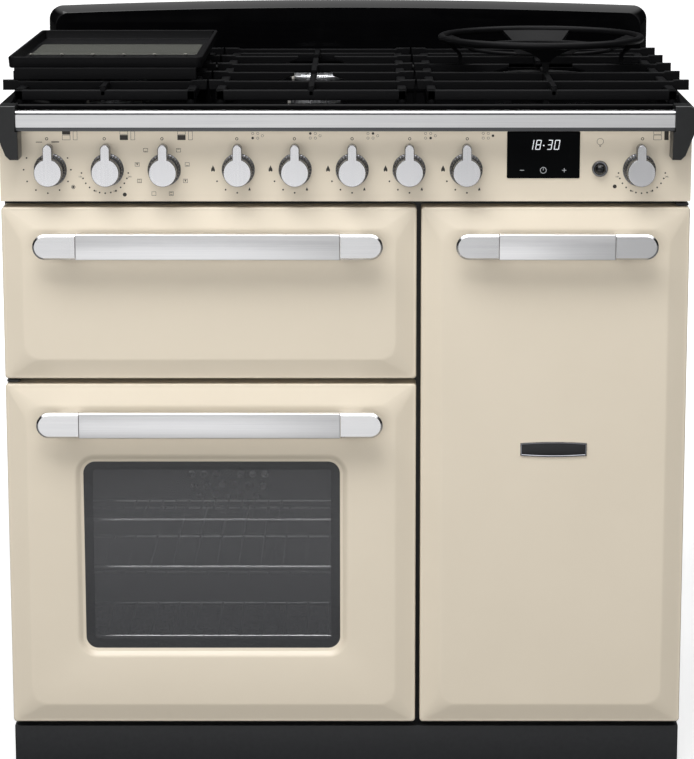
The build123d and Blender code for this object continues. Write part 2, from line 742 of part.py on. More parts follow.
def hinge_plate(x, z0):
    """Plate on the front frame in which an upright hinge pin turns."""
    half = HINGE_IN - CUT
    plate = block(x - half, x + half, HINGE_D - half, FRAME_D, z0, z0 + HINGE_PLATE_T)
    return plate - hinge_hole(x, z0 - CUT, z0 + HINGE_PLATE_T + CUT, RUN)


def hinge_lug(x):
    """Lug on the front frame in which a pin of the grill door turns."""
    half = LUG_T / 2
    lug = block(x - half, x + half, DROP_D, FRAME_D, DROP_Z - LUG_R, DROP_Z + LUG_R)
    lug += rod_x(x - half, x + half, DROP_D, DROP_Z, LUG_R)
    return lug - rod_x(x - LUG_T, x + LUG_T, DROP_D, DROP_Z, DROP_PIN_R + RUN)


def make_front_frame():
    """Front frame round the three mouths, with the hinge plates and lugs, and the door seals."""
    wall = HALF - SHEET
    plate = block(-wall, wall, FRAME_D, CAVITY_D, BASE_TOP, FASCIA_BOTTOM + FRAME_RISE)
    plate -= [box_panel(mouth, FRAME_D - CUT, CAVITY_D + CUT) for mouth in MOUTHS]
    lugs = [hinge_lug(x) for x in DROP_XS]
    plates = [hinge_plate(x, z0) for x, z0, _ in OVEN_HINGES + TALL_HINGES]
    save("front_frame", merge([plate] + lugs + plates))
    seals = []
    for mouth in MOUTHS:
        ring = panel(shrink(mouth, -SEAL_W), SEAL_W, DOOR_T + FIT, FRAME_D)
        seals.append(ring - panel(shrink(mouth, -CUT), SHEET, DOOR_T, FRAME_D + CUT))
    save("door_seals", *seals)


def make_panels():
    """Side panels and the back panel with its vents, terminal cover and gas opening."""
    wall = HALF - SHEET
    sides = [
        block(-HALF, -wall, FRAME_D, BACK_D, BASE_BOTTOM, FASCIA_TOP),
        block(wall, HALF, FRAME_D, BACK_D, BASE_BOTTOM, FASCIA_TOP),
    ]
    save("side_panels", *sides)
    back = block(-wall, wall, BACK_D - SHEET, BACK_D, BASE_BOTTOM, FASCIA_TOP)
    slots = []
    through = (BACK_D - SHEET - CUT, BACK_D + CUT)
    for row in range(VENT_ROWS):
        z = FASCIA_BOTTOM - VENT_DOWN - row * VENT_PITCH
        slots += [block(share * HALF - VENT_L / 2, share * HALF + VENT_L / 2, *through,
                        z - VENT_H / 2, z + VENT_H / 2) for share in VENT_SHARES]
    inlet = rod_y(INLET_X, *through, KNOB_Z, INLET_R + CUT)
    x = -HALF + COVER_IN
    cover = block(x - COVER_W / 2, x + COVER_W / 2, BACK_D, BACK_D + COVER_T, COVER_Z, COVER_Z + COVER_H)
    gland = rod_z(x, BACK_D + GLAND_D, COVER_Z - CUT, COVER_Z + GLAND_L, GLAND_R)
    save("back_panel", merge([back, cover]) - slots - [inlet, gland])


def cavity(mouth, depth):
    """Open-fronted enamelled box behind a mouth."""
    shell = box_panel(shrink(mouth, -SHEET), CAVITY_D, CAVITY_D + depth + SHEET)
    return shell - box_panel(mouth, CAVITY_D - CUT, CAVITY_D + depth)


def centre(rect):
    """Middle of a front-view rectangle."""
    return (rect[0] + rect[1]) / 2, (rect[2] + rect[3]) / 2


def make_cavities():
    """Grill chamber and the two ovens, with holes for what passes through their walls."""
    holes = [rod_y(x, GRILL_BACK_D - CUT, GRILL_BACK_D + SHEET + CUT, GRILL_ELEMENT_Z, ELEMENT_R + FIT)
             for x in grill_legs()]
    save("grill_cavity", cavity(GRILL_MOUTH, GRILL_CAVITY_DEPTH) - holes)
    for name, mouth in (("main_oven_cavity", OVEN_MOUTH), ("tall_oven_cavity", TALL_MOUTH)):
        x, z = centre(mouth)
        span = (OVEN_BACK_D - CUT, OVEN_BACK_D + SHEET + CUT)
        cuts = [rod_y(x, *span, z, SHAFT_R + CUT)]
        cuts += [rod_y(leg, *span, z - RING_R, ELEMENT_R + FIT) for leg in ring_legs(x)]
        if mouth is OVEN_MOUTH:
            cuts.append(rod_z(LAMP_X, LAMP_D, mouth[3] - CUT, mouth[3] + SHEET + CUT, LAMP_R))
            cuts += [rod_y(leg, *span, OVEN_ELEMENT_Z, ELEMENT_R + FIT) for leg in roof_legs()]
        save(name, cavity(mouth, OVEN_CAVITY_DEPTH) - cuts)
    blankets = []
    for mouth, depth in ((GRILL_MOUTH, GRILL_CAVITY_DEPTH), (OVEN_MOUTH, OVEN_CAVITY_DEPTH),
                         (TALL_MOUTH, OVEN_CAVITY_DEPTH)):
        inner = shrink(mouth, -SHEET)
        wrap = box_panel(shrink(inner, -WOOL_T), CAVITY_D, CAVITY_D + depth - WOOL_SHORT)
        wrap -= box_panel(inner, CAVITY_D - CUT, CAVITY_D + depth)
        if mouth is OVEN_MOUTH:
            wrap -= block(LAMP_X - LAMP_ROOM, LAMP_X + LAMP_ROOM, LAMP_D - LAMP_ROOM, LAMP_D + LAMP_ROOM,
                          mouth[3], mouth[3] + LAMP_ROOM)
        blankets.append(wrap)
    save("oven_insulation", *blankets)


# Oven fittings

def ring_legs(x):
    """X places of the two legs of a ring element."""
    return (x - RING_LEG_X, x + RING_LEG_X)


def element_half():
    """Half the width between the outer runs of a rod element."""
    return (ELEMENT_RUNS - 1) / 2 * ELEMENT_PITCH


def grill_legs():
    """X places where the two grill elements leave through the back wall."""
    x = centre(GRILL_MOUTH)[0]
    spread = element_half()
    return tuple(x + half * GRILL_ELEMENT_X + s * spread for half in (-1, 1) for s in (-1, 1))


def roof_legs():
    """X places where the oven roof element leaves through the back wall."""
    x = centre(OVEN_MOUTH)[0]
    return (x - element_half(), x + element_half())


def serpentine(x, z, d0, d1, d_exit):
    """Rod element bent into runs front to back, its ends leaving through the back wall."""
    xs = [x - element_half() + i * ELEMENT_PITCH for i in range(ELEMENT_RUNS)]
    points = [(xs[0], d_exit)]
    for i, run in enumerate(xs):
        points.append((run, d0 if i % 2 == 0 else d1))
        if i < ELEMENT_RUNS - 1:
            points.append((xs[i + 1], d0 if i % 2 == 0 else d1))
    points[-1] = (xs[-1], d_exit)
    corners = [Vector(px, DOOR_Y + pd, z) for px, pd in points]
    path = FilletPolyline(*corners, radius=ELEMENT_PITCH / 2 - CUT)
    section = Plane(path @ 0, z_dir=path % 0) * Circle(ELEMENT_R)
    return sweep(section, path)


def ring_element(x, z):
    """Ring element round a fan, with two legs through the back wall."""
    d = OVEN_BACK_D - FAN_CHAMBER / 2
    ring = at(x, d, z) * Rot(90, 0, 0) * Torus(RING_R, ELEMENT_R)
    legs = [rod_y(leg, d, OVEN_BACK_D + ELEMENT_OUT, z - RING_R, ELEMENT_R) for leg in ring_legs(x)]
    return merge([ring] + legs)


def fan(x, z):
    """Fan wheel: back disc, blades, hub and a shaft into the motor."""
    d1 = OVEN_BACK_D - FAN_GAP
    d0 = d1 - FAN_T
    parts = [
        rod_y(x, d1 - SHEET, d1, z, FAN_R),
        rod_y(x, d0, d1, z, FAN_HUB_R),
        rod_y(x, d1, OVEN_BACK_D + MOTOR_L - MOTOR_END, z, SHAFT_R),
    ]
    blade = Pos(FAN_BLADE_R, 0, 0) * Box(FAN_BLADE_L, d1 - d0, SHEET)
    for i in range(FAN_BLADES):
        parts.append(at(x, (d0 + d1) / 2, z) * Rot(0, 360 / FAN_BLADES * i, 0) * blade)
    return merge(parts)


def fan_cover(mouth):
    """Perforated plate in front of a fan, filling the back of the oven."""
    x, z = centre(mouth)
    d1 = OVEN_BACK_D - FAN_CHAMBER
    plate = box_panel(mouth, d1 - SHEET, d1)
    span = (d1 - SHEET - CUT, d1 + CUT)
    holes = []
    for ring, count in FAN_HOLES:
        for i in range(count):
            angle = radians(360 * i / count)
            holes.append(rod_y(x + ring * cos(angle), *span, z + ring * sin(angle), FAN_HOLE_R))
    for side in (-1, 1):
        edge = x + side * ((mouth[1] - mouth[0]) / 2 - FAN_SLOT_IN)
        holes += [block(edge - FAN_SLOT_W / 2, edge + FAN_SLOT_W / 2, *span,
                        z + step - FAN_SLOT_H / 2, z + step + FAN_SLOT_H / 2) for step in FAN_SLOT_STEPS]
    return plate - holes


def ladder(mouth, side, levels):
    """Wire ladder on one side wall of an oven that carries the shelves."""
    wall = mouth[0] if side > 0 else mouth[1]
    near = wall + side * (LADDER_R + RUN)
    rung = wall + side * LADDER_OUT
    d0, d1 = SHELF_D - LADDER_FRONT, SHELF_D + SHELF_DEPTH - LADDER_SHORT
    wires = [rod_z(near, d, mouth[2] + LADDER_FOOT, levels[-1] + LADDER_HEAD, LADDER_R) for d in (d0, d1)]
    for z in levels:
        wires.append(rod_y(rung, d0, d1, z, LADDER_RUNG_R))
        for d in (d0, d1):
            wires.append(rod_x(min(near, rung), max(near, rung), d, z, LADDER_RUNG_R))
            wires.append(at(rung, d, z) * Sphere(LADDER_RUNG_R))
    return merge(wires)


def shelf(mouth, level):
    """Wire shelf resting on the ladders: a frame, cross wires and long wires."""
    x0, x1 = mouth[0] + LADDER_OUT, mouth[1] - LADDER_OUT
    d0, d1 = SHELF_D, SHELF_D + SHELF_DEPTH
    z = level + LADDER_RUNG_R + SHELF_R + FIT
    wires = [rod_y(x, d0 - SHELF_R, d1 + SHELF_R, z, SHELF_R) for x in (x0, x1)]
    wires += [rod_x(x0, x1, d, z, SHELF_CROSS_R) for d in (d0, (d0 + d1) / 2, d1)]
    step = (x1 - x0) / (SHELF_WIRES + 1)
    wires += [rod_y(x0 + step * i, d0, d1, z, WIRE_R) for i in range(1, SHELF_WIRES + 1)]
    return merge(wires)


def grill_carriage():
    """Grill carriage with its pan and trivet, hung between the runners."""
    x0, x1 = GRILL_MOUTH[0] + RUNNER_W + FIT, GRILL_MOUTH[1] - RUNNER_W - FIT
    d0, d1 = PAN_D, PAN_D + PAN_DEPTH
    rim = PAN_Z + PAN_H
    bar = CARRIAGE_BAR
    frame = merge([
        block(x0, x0 + bar, d0, d1, rim - CARRIAGE_SIDE_H, rim - SHEET),
        block(x1 - bar, x1, d0, d1, rim - CARRIAGE_SIDE_H, rim - SHEET),
        block(x0, x1, d0, d0 + bar, rim - CARRIAGE_CROSS_H, rim - SHEET),
        block(x0, x1, d1 - bar, d1, rim - CARRIAGE_CROSS_H, rim - SHEET),
    ])
    gap = bar + FIT
    tray = (x0 + gap, x1 - gap, d0 + gap, d1 - gap)
    pan = block(*tray, PAN_Z, rim) + block(x0, x1, d0, d1, rim - SHEET, rim)
    pan -= block(tray[0] + SHEET, tray[1] - SHEET, tray[2] + SHEET, tray[3] - SHEET, PAN_Z + SHEET, rim + CUT)
    z = rim - TRIVET_DOWN
    a0, a1 = tray[0] + TRIVET_IN, tray[1] - TRIVET_IN
    b0, b1 = tray[2] + TRIVET_IN, tray[3] - TRIVET_IN
    wires = [rod_x(a0, a1, d, z, SHELF_R) for d in (b0, (b0 + b1) / 2, b1)]
    wires += [rod_y(x, b0, b1, z, SHELF_R) for x in (a0, a1)]
    wires += [rod_z(x, d, PAN_Z + SHEET, z, SHELF_R) for x in (a0, a1) for d in (b0, b1)]
    wires += [at(x, d, z) * Sphere(SHELF_R) for x in (a0, a1) for d in (b0, b1)]
    step = (a1 - a0) / TRIVET_WIRES
    wires += [rod_y(a0 + step * i, b0, b1, z, WIRE_R) for i in range(1, TRIVET_WIRES)]
    return frame, pan, merge(wires)


def runners():
    """Fixed runners of the grill carriage on the side walls of the grill chamber."""
    z = PAN_Z + PAN_H - RUNNER_DOWN
    span = (CAVITY_D + RUNNER_FRONT, GRILL_BACK_D - RUNNER_BACK, z - RUNNER_H / 2, z + RUNNER_H / 2)
    return [
        block(GRILL_MOUTH[0], GRILL_MOUTH[0] + RUNNER_W, *span),
        block(GRILL_MOUTH[1] - RUNNER_W, GRILL_MOUTH[1], *span),
    ]


def make_oven_fittings():
    """Elements, fans, covers, motors, ladders, shelves, the grill pan and the lamp."""
    exit_d = OVEN_BACK_D + ELEMENT_OUT
    grill_x, _ = centre(GRILL_MOUTH)
    elements = [serpentine(grill_x + s * GRILL_ELEMENT_X, GRILL_ELEMENT_Z, CAVITY_D + GRILL_ELEMENT_IN,
                           GRILL_BACK_D - GRILL_ELEMENT_SHORT, GRILL_BACK_D + ELEMENT_OUT) for s in (-1, 1)]
    oven_x, oven_z = centre(OVEN_MOUTH)
    tall_x, tall_z = centre(TALL_MOUTH)
    elements.append(serpentine(oven_x, OVEN_ELEMENT_Z, LAMP_D + ROOF_ELEMENT_FRONT,
                               OVEN_BACK_D - FAN_CHAMBER - ROOF_ELEMENT_BACK, exit_d))
    elements += [ring_element(oven_x, oven_z), ring_element(tall_x, tall_z)]
    save("heating_elements", *elements)
    save("main_oven_fan", fan(oven_x, oven_z))
    save("tall_oven_fan", fan(tall_x, tall_z))
    roof_holes = [rod_y(x, exit_d - 2 * FAN_CHAMBER, exit_d, OVEN_ELEMENT_Z, ELEMENT_R + FIT)
                  for x in roof_legs()]
    save("fan_covers", fan_cover(OVEN_MOUTH) - roof_holes, fan_cover(TALL_MOUTH))
    d0 = OVEN_BACK_D + SHEET
    bore_end = d0 + MOTOR_L - MOTOR_END
    motors = [rod_y(x, d0, d0 + MOTOR_L, z, MOTOR_R) - rod_y(x, d0 - CUT, bore_end, z, SHAFT_R + RUN)
              for x, z in ((oven_x, oven_z), (tall_x, tall_z))]
    save("fan_motors", *motors)
    ladders = [ladder(OVEN_MOUTH, side, OVEN_LEVELS) for side in (1, -1)]
    ladders += [ladder(TALL_MOUTH, side, TALL_LEVELS) for side in (1, -1)]
    save("side_runners", *ladders, *runners())
    save("main_oven_shelves", *[shelf(OVEN_MOUTH, level) for level in OVEN_LEVELS[:2]])
    save("tall_oven_shelves", *[shelf(TALL_MOUTH, level) for level in TALL_LEVELS[0:5:2]])
    carriage, pan, trivet = grill_carriage()
    save("grill_carriage", carriage, pan)
    save("grill_trivet", trivet)
    roof = OVEN_MOUTH[3]
    lens = rod_z(LAMP_X, LAMP_D, roof - LAMP_LENS_T, roof, LAMP_R + LAMP_LENS_OVER)
    lens = fillet(lens.edges().group_by(Axis.Z)[0], LAMP_EDGE)
    save("oven_lamp", lens, rod_z(LAMP_X, LAMP_D, roof, roof + LAMP_SOCKET_H, LAMP_R - FIT))


# Controls

def knob_shape(x):
    """Knob with a round flat face, an upward lever grip and a spindle into the control behind."""
    front = -KNOB_REACH
    back = -BEZEL_T - KNOB_GAP
    half = KNOB_LEVER_W / 2
    top = KNOB_Z + KNOB_LEVER - half
    lever = block(x - half, x + half, front, front + KNOB_LEVER_T, KNOB_Z, top)
    lever += rod_y(x, front, front + KNOB_LEVER_T, top, half)
    return merge([
        rod_y(x, front, back, KNOB_Z, KNOB_R),
        lever,
        rod_y(x, back, SPINDLE_L, KNOB_Z, SPINDLE_R),
    ])


def make_controls():
    """Fascia, knobs, bezels, taps, switches, clock, light button and the gas manifold."""
    knobs = {**OVEN_KNOBS, **GAS_KNOBS}
    for name, x in knobs.items():
        save(name, knob_shape(x))
    bezels = [rod_y(x, -BEZEL_T, 0, KNOB_Z, BEZEL_R) - rod_y(x, -BEZEL_T - CUT, CUT, KNOB_Z, SPINDLE_R + CUT)
              for x in knobs.values()]
    bezels.append(rod_y(BUTTON_X, -BEZEL_T, 0, BUTTON_Z, BUTTON_RING_R)
                  - rod_y(BUTTON_X, -BEZEL_T - CUT, CUT, BUTTON_Z, BUTTON_R + FIT))
    save("control_bezels", *bezels)

    fascia = merge([
        block(-HALF, HALF, 0, SHEET, FASCIA_BOTTOM, FASCIA_TOP),
        block(-HALF, HALF, 0, FRAME_D, FASCIA_BOTTOM, FASCIA_BOTTOM + SHEET),
        block(-HALF, HALF, 0, FASCIA_FLANGE, FASCIA_TOP - SHEET, FASCIA_TOP),
        block(-HALF, SHEET - HALF, 0, FRAME_D, FASCIA_BOTTOM, FASCIA_TOP),
        block(HALF - SHEET, HALF, 0, FRAME_D, FASCIA_BOTTOM, FASCIA_TOP),
    ])
    holes = [rod_y(x, -CUT, SHEET + CUT, KNOB_Z, SPINDLE_R + 2 * CUT) for x in knobs.values()]
    holes.append(rod_y(BUTTON_X, -CUT, SHEET + CUT, BUTTON_Z, BUTTON_R + FIT))
    holes.append(box_panel(shrink(CLOCK, CLOCK_LAP), -CUT, SHEET + CUT))
    save("control_fascia", fascia - holes)

    glass = panel(CLOCK, CLOCK_R, -CLOCK_PROUD, 0)
    unit = box_panel(shrink(CLOCK, CLOCK_LAP + FIT), 0, CLOCK_UNIT_L)
    save("clock_display", glass, unit)

    stem = rod_y(BUTTON_X, -BEZEL_T, SHEET + BUTTON_STEM, BUTTON_Z, BUTTON_R)
    dome = at(BUTTON_X, -BEZEL_T, BUTTON_Z) * Sphere(BUTTON_R)
    reach = 2 * BUTTON_R
    dome -= block(BUTTON_X - reach, BUTTON_X + reach, -BEZEL_T, reach, BUTTON_Z - reach, BUTTON_Z + reach)
    save("light_button", stem + dome)

    half = SWITCH_W / 2
    units = [block(x - half, x + half, SHEET, TAP_L, KNOB_Z - half, KNOB_Z + half - SWITCH_TOP_CUT)
             - rod_y(x, 0, SPINDLE_L + CUT, KNOB_Z, SPINDLE_R + RUN) for x in OVEN_KNOBS.values()]
    half = LIGHT_SWITCH_W / 2
    light = block(BUTTON_X - half, BUTTON_X + half, SHEET, TAP_L, BUTTON_Z - half, BUTTON_Z + half)
    well = SHEET + BUTTON_STEM + BUTTON_TRAVEL + CUT
    units.append(light - rod_y(BUTTON_X, 0, well, BUTTON_Z, BUTTON_R + RUN))
    save("oven_switches", *units)

    half = TAP_W / 2
    taps = [block(x - half, x + half, SHEET, TAP_L, KNOB_Z - half, KNOB_Z + half)
            - rod_y(x, 0, SPINDLE_L + CUT, KNOB_Z, SPINDLE_R + RUN) for x in GAS_KNOBS.values()]
    d = TAP_L + MANIFOLD_R + RUN
    pipe = merge([
        rod_x(GAS_KNOB_X - TAP_W, INLET_X, d, KNOB_Z, MANIFOLD_R),
        at(INLET_X, d, KNOB_Z) * Sphere(MANIFOLD_R),
        rod_y(INLET_X, d, BACK_D - INLET_L, KNOB_Z, MANIFOLD_R),
        rod_y(INLET_X, BACK_D - INLET_L, BODY_DEPTH, KNOB_Z, INLET_R),
    ])
    save("gas_manifold", pipe, *taps)


def make_rail():
    """Brushed towel rail along the front, between two black brackets."""
    low = FASCIA_BOTTOM + RAIL_UP
    high = low + RAIL_H
    front = -RAIL_FACE
    back = front + RAIL_DEPTH
    end = HALF - RAIL_END
    profile = [
        (front, low), (front, high - RAIL_CHAMFER), (front + RAIL_CHAMFER, high), (back, high), (back, low),
    ]
    save("towel_rail", side_prism(profile, -end, end))
    top = FASCIA_TOP + BRACKET_TOP
    brackets = []
    for side in (-1, 1):
        points = [
            (end, top), (HALF - BRACKET_NOSE, top), (HALF, top - BRACKET_NOSE_DROP), (HALF, low),
            (HALF - BRACKET_TAPER, low - BRACKET_TAPER_DROP), (HALF - BRACKET_FOOT, top - BRACKET_DROP),
            (end - BRACKET_INNER, top - BRACKET_DROP), (end - BRACKET_INNER, low - BRACKET_LEDGE),
            (end, low - BRACKET_LEDGE),
        ]
        outline_points = [(side * px, pz) for px, pz in points]
        brackets.append(front_prism(outline_points[::side], front - BRACKET_PROUD, 0))
    save("rail_brackets", *brackets)


# Hob

def make_hob():
    """Hob tray, burners, caps, igniters and the rear upstand."""
    tray = block(-HALF, HALF, 0, HOB_DEPTH, FASCIA_TOP, HOB_TOP)
    side = HALF - HOB_RIM_W
    tray -= block(-side, side, HOB_RIM_W, HOB_DEPTH - HOB_RIM_W, HOB_BED, HOB_TOP + CUT)
    bodies = []
    caps = []
    for x, d, r, _ in BURNERS:
        neck = r - BURNER_NECK
        tray -= rod_z(x, d, FASCIA_TOP - CUT, HOB_BED + CUT, neck + FIT)
        bodies.append(merge([
            rod_z(x, d, FASCIA_TOP - BURNER_DROP, HOB_BED, neck),
            rod_z(x, d, HOB_BED, HOB_BED + BURNER_FLANGE_T, r + BURNER_FLANGE),
            rod_z(x, d, HOB_BED + BURNER_FLANGE_T, CROWN_Z, r),
        ]))
        cap = rod_z(x, d, CROWN_Z, CAP_Z, r + CAP_OVER)
        caps.append(fillet(cap.edges().group_by(Axis.Z)[-1], CAP_EDGE))
        for angle in PIN_ANGLES:
            px = x + (r + PIN_OUT) * cos(radians(angle))
            pd = d + (r + PIN_OUT) * sin(radians(angle))
            bodies.append(rod_z(px, pd, HOB_BED, CROWN_Z + PIN_OVER, PIN_R))
    save("hob_tray", tray)
    save("burner_bodies", *bodies)
    save("burner_caps", *caps)

    end = HALF - UPSTAND_IN
    low = FASCIA_TOP
    side_top = HOB_TOP + UPSTAND_H
    d0, d1 = HOB_DEPTH, HOB_DEPTH + UPSTAND_T
    r = UPSTAND_R
    bow = r * (1 - cos(radians(45)))
    with BuildLine() as edge:
        Line((-end, low), (end, low))
        Line((end, low), (end, side_top - r))
        ThreePointArc((end, side_top - r), (end - bow, side_top - bow), (end - r, side_top))
        ThreePointArc((end - r, side_top), (0, side_top + UPSTAND_ARCH), (r - end, side_top))
        ThreePointArc((r - end, side_top), (bow - end, side_top - bow), (-end, side_top - r))
        Line((-end, side_top - r), (-end, low))
    plane = Plane((0, DOOR_Y + d1, 0), x_dir=(1, 0, 0), z_dir=(0, -1, 0))
    upstand = extrude(plane * make_face(edge.line), amount=d1 - d0)
    front = upstand.edges().filter_by_position(Axis.Y, DOOR_Y + d0, DOOR_Y + d0, inclusive=(True, True))
    rim = [edge for edge in front if edge.center().Z > low + CUT]
    save("rear_upstand", chamfer(rim, UPSTAND_EDGE))


def pan_support(x0, x1, in0, in1, burners):
    """Cast pan support: a low frame on feet, cross bars with raised ends, one long bar and finger ends."""
    low = SUPPORT_Z - BAR_H
    frame_z1 = low + SUPPORT_LAP
    frame_z0 = frame_z1 - SUPPORT_FRAME_H
    d0 = HOB_RIM_W + SUPPORT_FRONT_IN
    d1 = HOB_DEPTH - HOB_RIM_W - SUPPORT_EDGE_IN
    edge = SUPPORT_FRAME_W
    parts = [
        block(in0, in1, d0, d0 + edge, frame_z0, frame_z1),
        block(in0, in1, d1 - edge, d1, frame_z0, frame_z1),
        block(in0, in0 + edge, d0, d1, frame_z0, frame_z1),
        block(in1 - edge, in1, d0, d1, frame_z0, frame_z1),
    ]
    for i in range(BAR_COUNT):
        d = BAR_FIRST_D + i * BAR_PITCH
        parts.append(block(x0, x1, d - BAR_W / 2, d + BAR_W / 2, low, BAR_Z))
        parts += [block(x, x + SUPPORT_LUG_L, d - BAR_W / 2, d + BAR_W / 2, low, SUPPORT_Z)
                  for x in (x0, x1 - SUPPORT_LUG_L)]
    x = burners[0][0]
    parts.append(block(x - BAR_W / 2, x + BAR_W / 2, d0, d1, low, BAR_Z))
    parts += [rod_z(fx, fd, HOB_BED, frame_z0, SUPPORT_FOOT_R)
              for fx in (in0 + edge / 2, in1 - edge / 2) for fd in (d0 + edge / 2, d1 - edge / 2)]
    return merge(parts) - [rod_z(bx, bd, low - CUT, BAR_Z + CUT, finger) for bx, bd, _, finger in burners]


def griddle():
    """Griddle plate with a raised rim and ribs, on two skirts that stand on the pan support."""
    x0 = -HALF - SUPPORT_OVER + GRIDDLE_IN
    x1 = SUPPORT_SPLIT_LEFT - GRIDDLE_IN
    d0 = BAR_FIRST_D - BAR_W / 2
    d1 = d0 + GRIDDLE_DEPTH
    low = SUPPORT_Z + GRIDDLE_LIFT
    high = low + GRIDDLE_H
    wall = GRIDDLE_WALL
    body = block(x0, x1, d0, d1, low, high)
    body -= block(x0 + wall, x1 - wall, d0 + wall, d1 - wall, low + GRIDDLE_FLOOR, high + CUT)
    parts = [body]
    skirt = GRIDDLE_SKIRT_IN
    for i in GRIDDLE_BARS:
        d = BAR_FIRST_D + i * BAR_PITCH
        parts.append(block(x0 + skirt, x1 - skirt, d - BAR_W / 2, d + BAR_W / 2, SUPPORT_Z, low))
    step = (x1 - x0 - 2 * wall) / (GRIDDLE_RIBS + 1)
    for i in range(1, GRIDDLE_RIBS + 1):
        x = x0 + wall + step * i
        parts.append(block(x - GRIDDLE_RIB_W / 2, x + GRIDDLE_RIB_W / 2, d0 + wall, d1 - wall,
                           low + GRIDDLE_RIB_LOW, low + GRIDDLE_RIB_HIGH))
    return merge(parts)


def wok_ring():
    """Cast wok ring: a rim with a cone below it, four windows and four legs on the bars."""
    x, d = BURNER_X["right"], BURNER_MID_D
    top = SUPPORT_Z + WOK_RING_H
    leg_top = top - WOK_LEG_DOWN
    outer, inner = WOK_RING_R, WOK_RING_INNER_R
    profile = Polygon(
        (outer, top), (outer, top - WOK_RIM_H), (outer - WOK_STEP, top - WOK_STEP), (inner, top - WOK_CONE),
        (inner, top - WOK_CONE + WOK_WALL), (outer - WOK_INNER_DROP, top - WOK_INNER_TOP),
        (outer - WOK_LIP, top), align=None)
    ring = revolve(Plane.XZ * profile, Axis.Z)
    windows = []
    legs = []
    for i in range(4):
        turn = Rot(0, 0, 90 * i)
        windows.append(turn * Rot(0, 0, 45) * Pos(WOK_LEG_R, 0, top - WOK_WINDOW_DOWN) * Box(*WOK_WINDOW))
        leg = Box(WOK_LEG_W, BAR_W, leg_top - BAR_Z)
        legs.append(turn * Pos(WOK_LEG_R, 0, (BAR_Z + leg_top) / 2) * leg)
    body = merge([ring - windows] + legs)
    return Pos(x, DOOR_Y + d, 0) * body


def make_hob_tops():
    """Three pan supports, the griddle and the wok ring."""
    edge = HALF + SUPPORT_OVER
    half_gap = SUPPORT_GAP / 2
    rim = HALF - HOB_RIM_W - SUPPORT_EDGE_IN
    split_left, split_right = SUPPORT_SPLIT_LEFT, SUPPORT_SPLIT_RIGHT
    spans = {
        "left": (-edge, split_left - half_gap, -rim, split_left - BAR_END, BURNERS[:2]),
        "centre": (split_left + half_gap, split_right - half_gap, split_left + BAR_END, split_right - BAR_END,
                   BURNERS[2:4]),
        "right": (split_right + half_gap, edge, split_right + BAR_END, rim, BURNERS[4:]),
    }
    for name, span in spans.items():
        save(f"pan_support_{name}", pan_support(*span))
    save("griddle", griddle())
    save("wok_ring", wok_ring())


os.makedirs("parts", exist_ok=True)
make_base()
make_front_frame()
make_panels()
make_cavities()
make_oven_fittings()
make_grill_door()
make_oven_door()
make_tall_door()
make_controls()
make_rail()
make_hob()
make_hob_tops()
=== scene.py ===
"""Looks of a range cooker 900 mm wide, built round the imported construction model.

Lengths are in millimetres until a mesh is made. A depth counts back from the plane of the door edges.
"""

import json
import logging
import math
from dataclasses import dataclass
from enum import Enum
from typing import Callable, Sequence

import bpy
import numpy as np
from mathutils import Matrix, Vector

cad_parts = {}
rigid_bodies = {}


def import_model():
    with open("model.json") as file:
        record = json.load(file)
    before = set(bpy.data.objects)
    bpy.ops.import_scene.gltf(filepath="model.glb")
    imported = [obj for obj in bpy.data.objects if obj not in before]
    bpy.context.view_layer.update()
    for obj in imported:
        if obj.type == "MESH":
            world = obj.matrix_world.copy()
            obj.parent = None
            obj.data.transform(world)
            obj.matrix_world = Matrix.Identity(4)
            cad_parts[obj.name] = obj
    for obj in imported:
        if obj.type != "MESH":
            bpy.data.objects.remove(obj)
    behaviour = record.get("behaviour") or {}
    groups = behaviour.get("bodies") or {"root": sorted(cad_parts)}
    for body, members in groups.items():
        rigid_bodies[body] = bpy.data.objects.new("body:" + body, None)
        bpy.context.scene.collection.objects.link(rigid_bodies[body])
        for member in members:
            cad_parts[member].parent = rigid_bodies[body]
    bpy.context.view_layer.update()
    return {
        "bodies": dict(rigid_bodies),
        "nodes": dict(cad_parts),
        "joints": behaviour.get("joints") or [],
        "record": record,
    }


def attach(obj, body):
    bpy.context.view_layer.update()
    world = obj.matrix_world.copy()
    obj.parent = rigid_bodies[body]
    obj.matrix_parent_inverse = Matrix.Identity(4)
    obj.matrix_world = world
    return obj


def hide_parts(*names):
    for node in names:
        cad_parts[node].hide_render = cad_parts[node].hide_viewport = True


LOG = logging.getLogger("range_cooker")
MM = 0.001
DOOR_PLANE = -281.5
END_LAND = 0.05
LEAST_RADIUS = 0.05
FLUTE_STEPS = 8
HALF_W = 446.0
KNOB_Z = 820.5
LIGHT_X = 328.0
LEFT_BURNER_X = -313.5
CENTRE_BURNER_X = -44.5
NEAR_BURNER_D = 204.0
FAR_BURNER_D = 436.0
WOK_X = 269.0
WOK_D = 320.0
FLOOR_BODY = "cooker_body"

Span = tuple[float, float]
Triple = tuple[float, float, float]
Rect = tuple[float, float, float, float]
Outline = Callable[[float], np.ndarray]

WINDOW: Rect = (-346.0, -8.0, 179.5, 434.5)


class View(Enum):
    """Which way an outline is drawn: the third direction is the one it is carried along."""

    FRONT = (0, 2, 1)
    SIDE = (1, 2, 0)
    PLAN = (0, 1, 2)


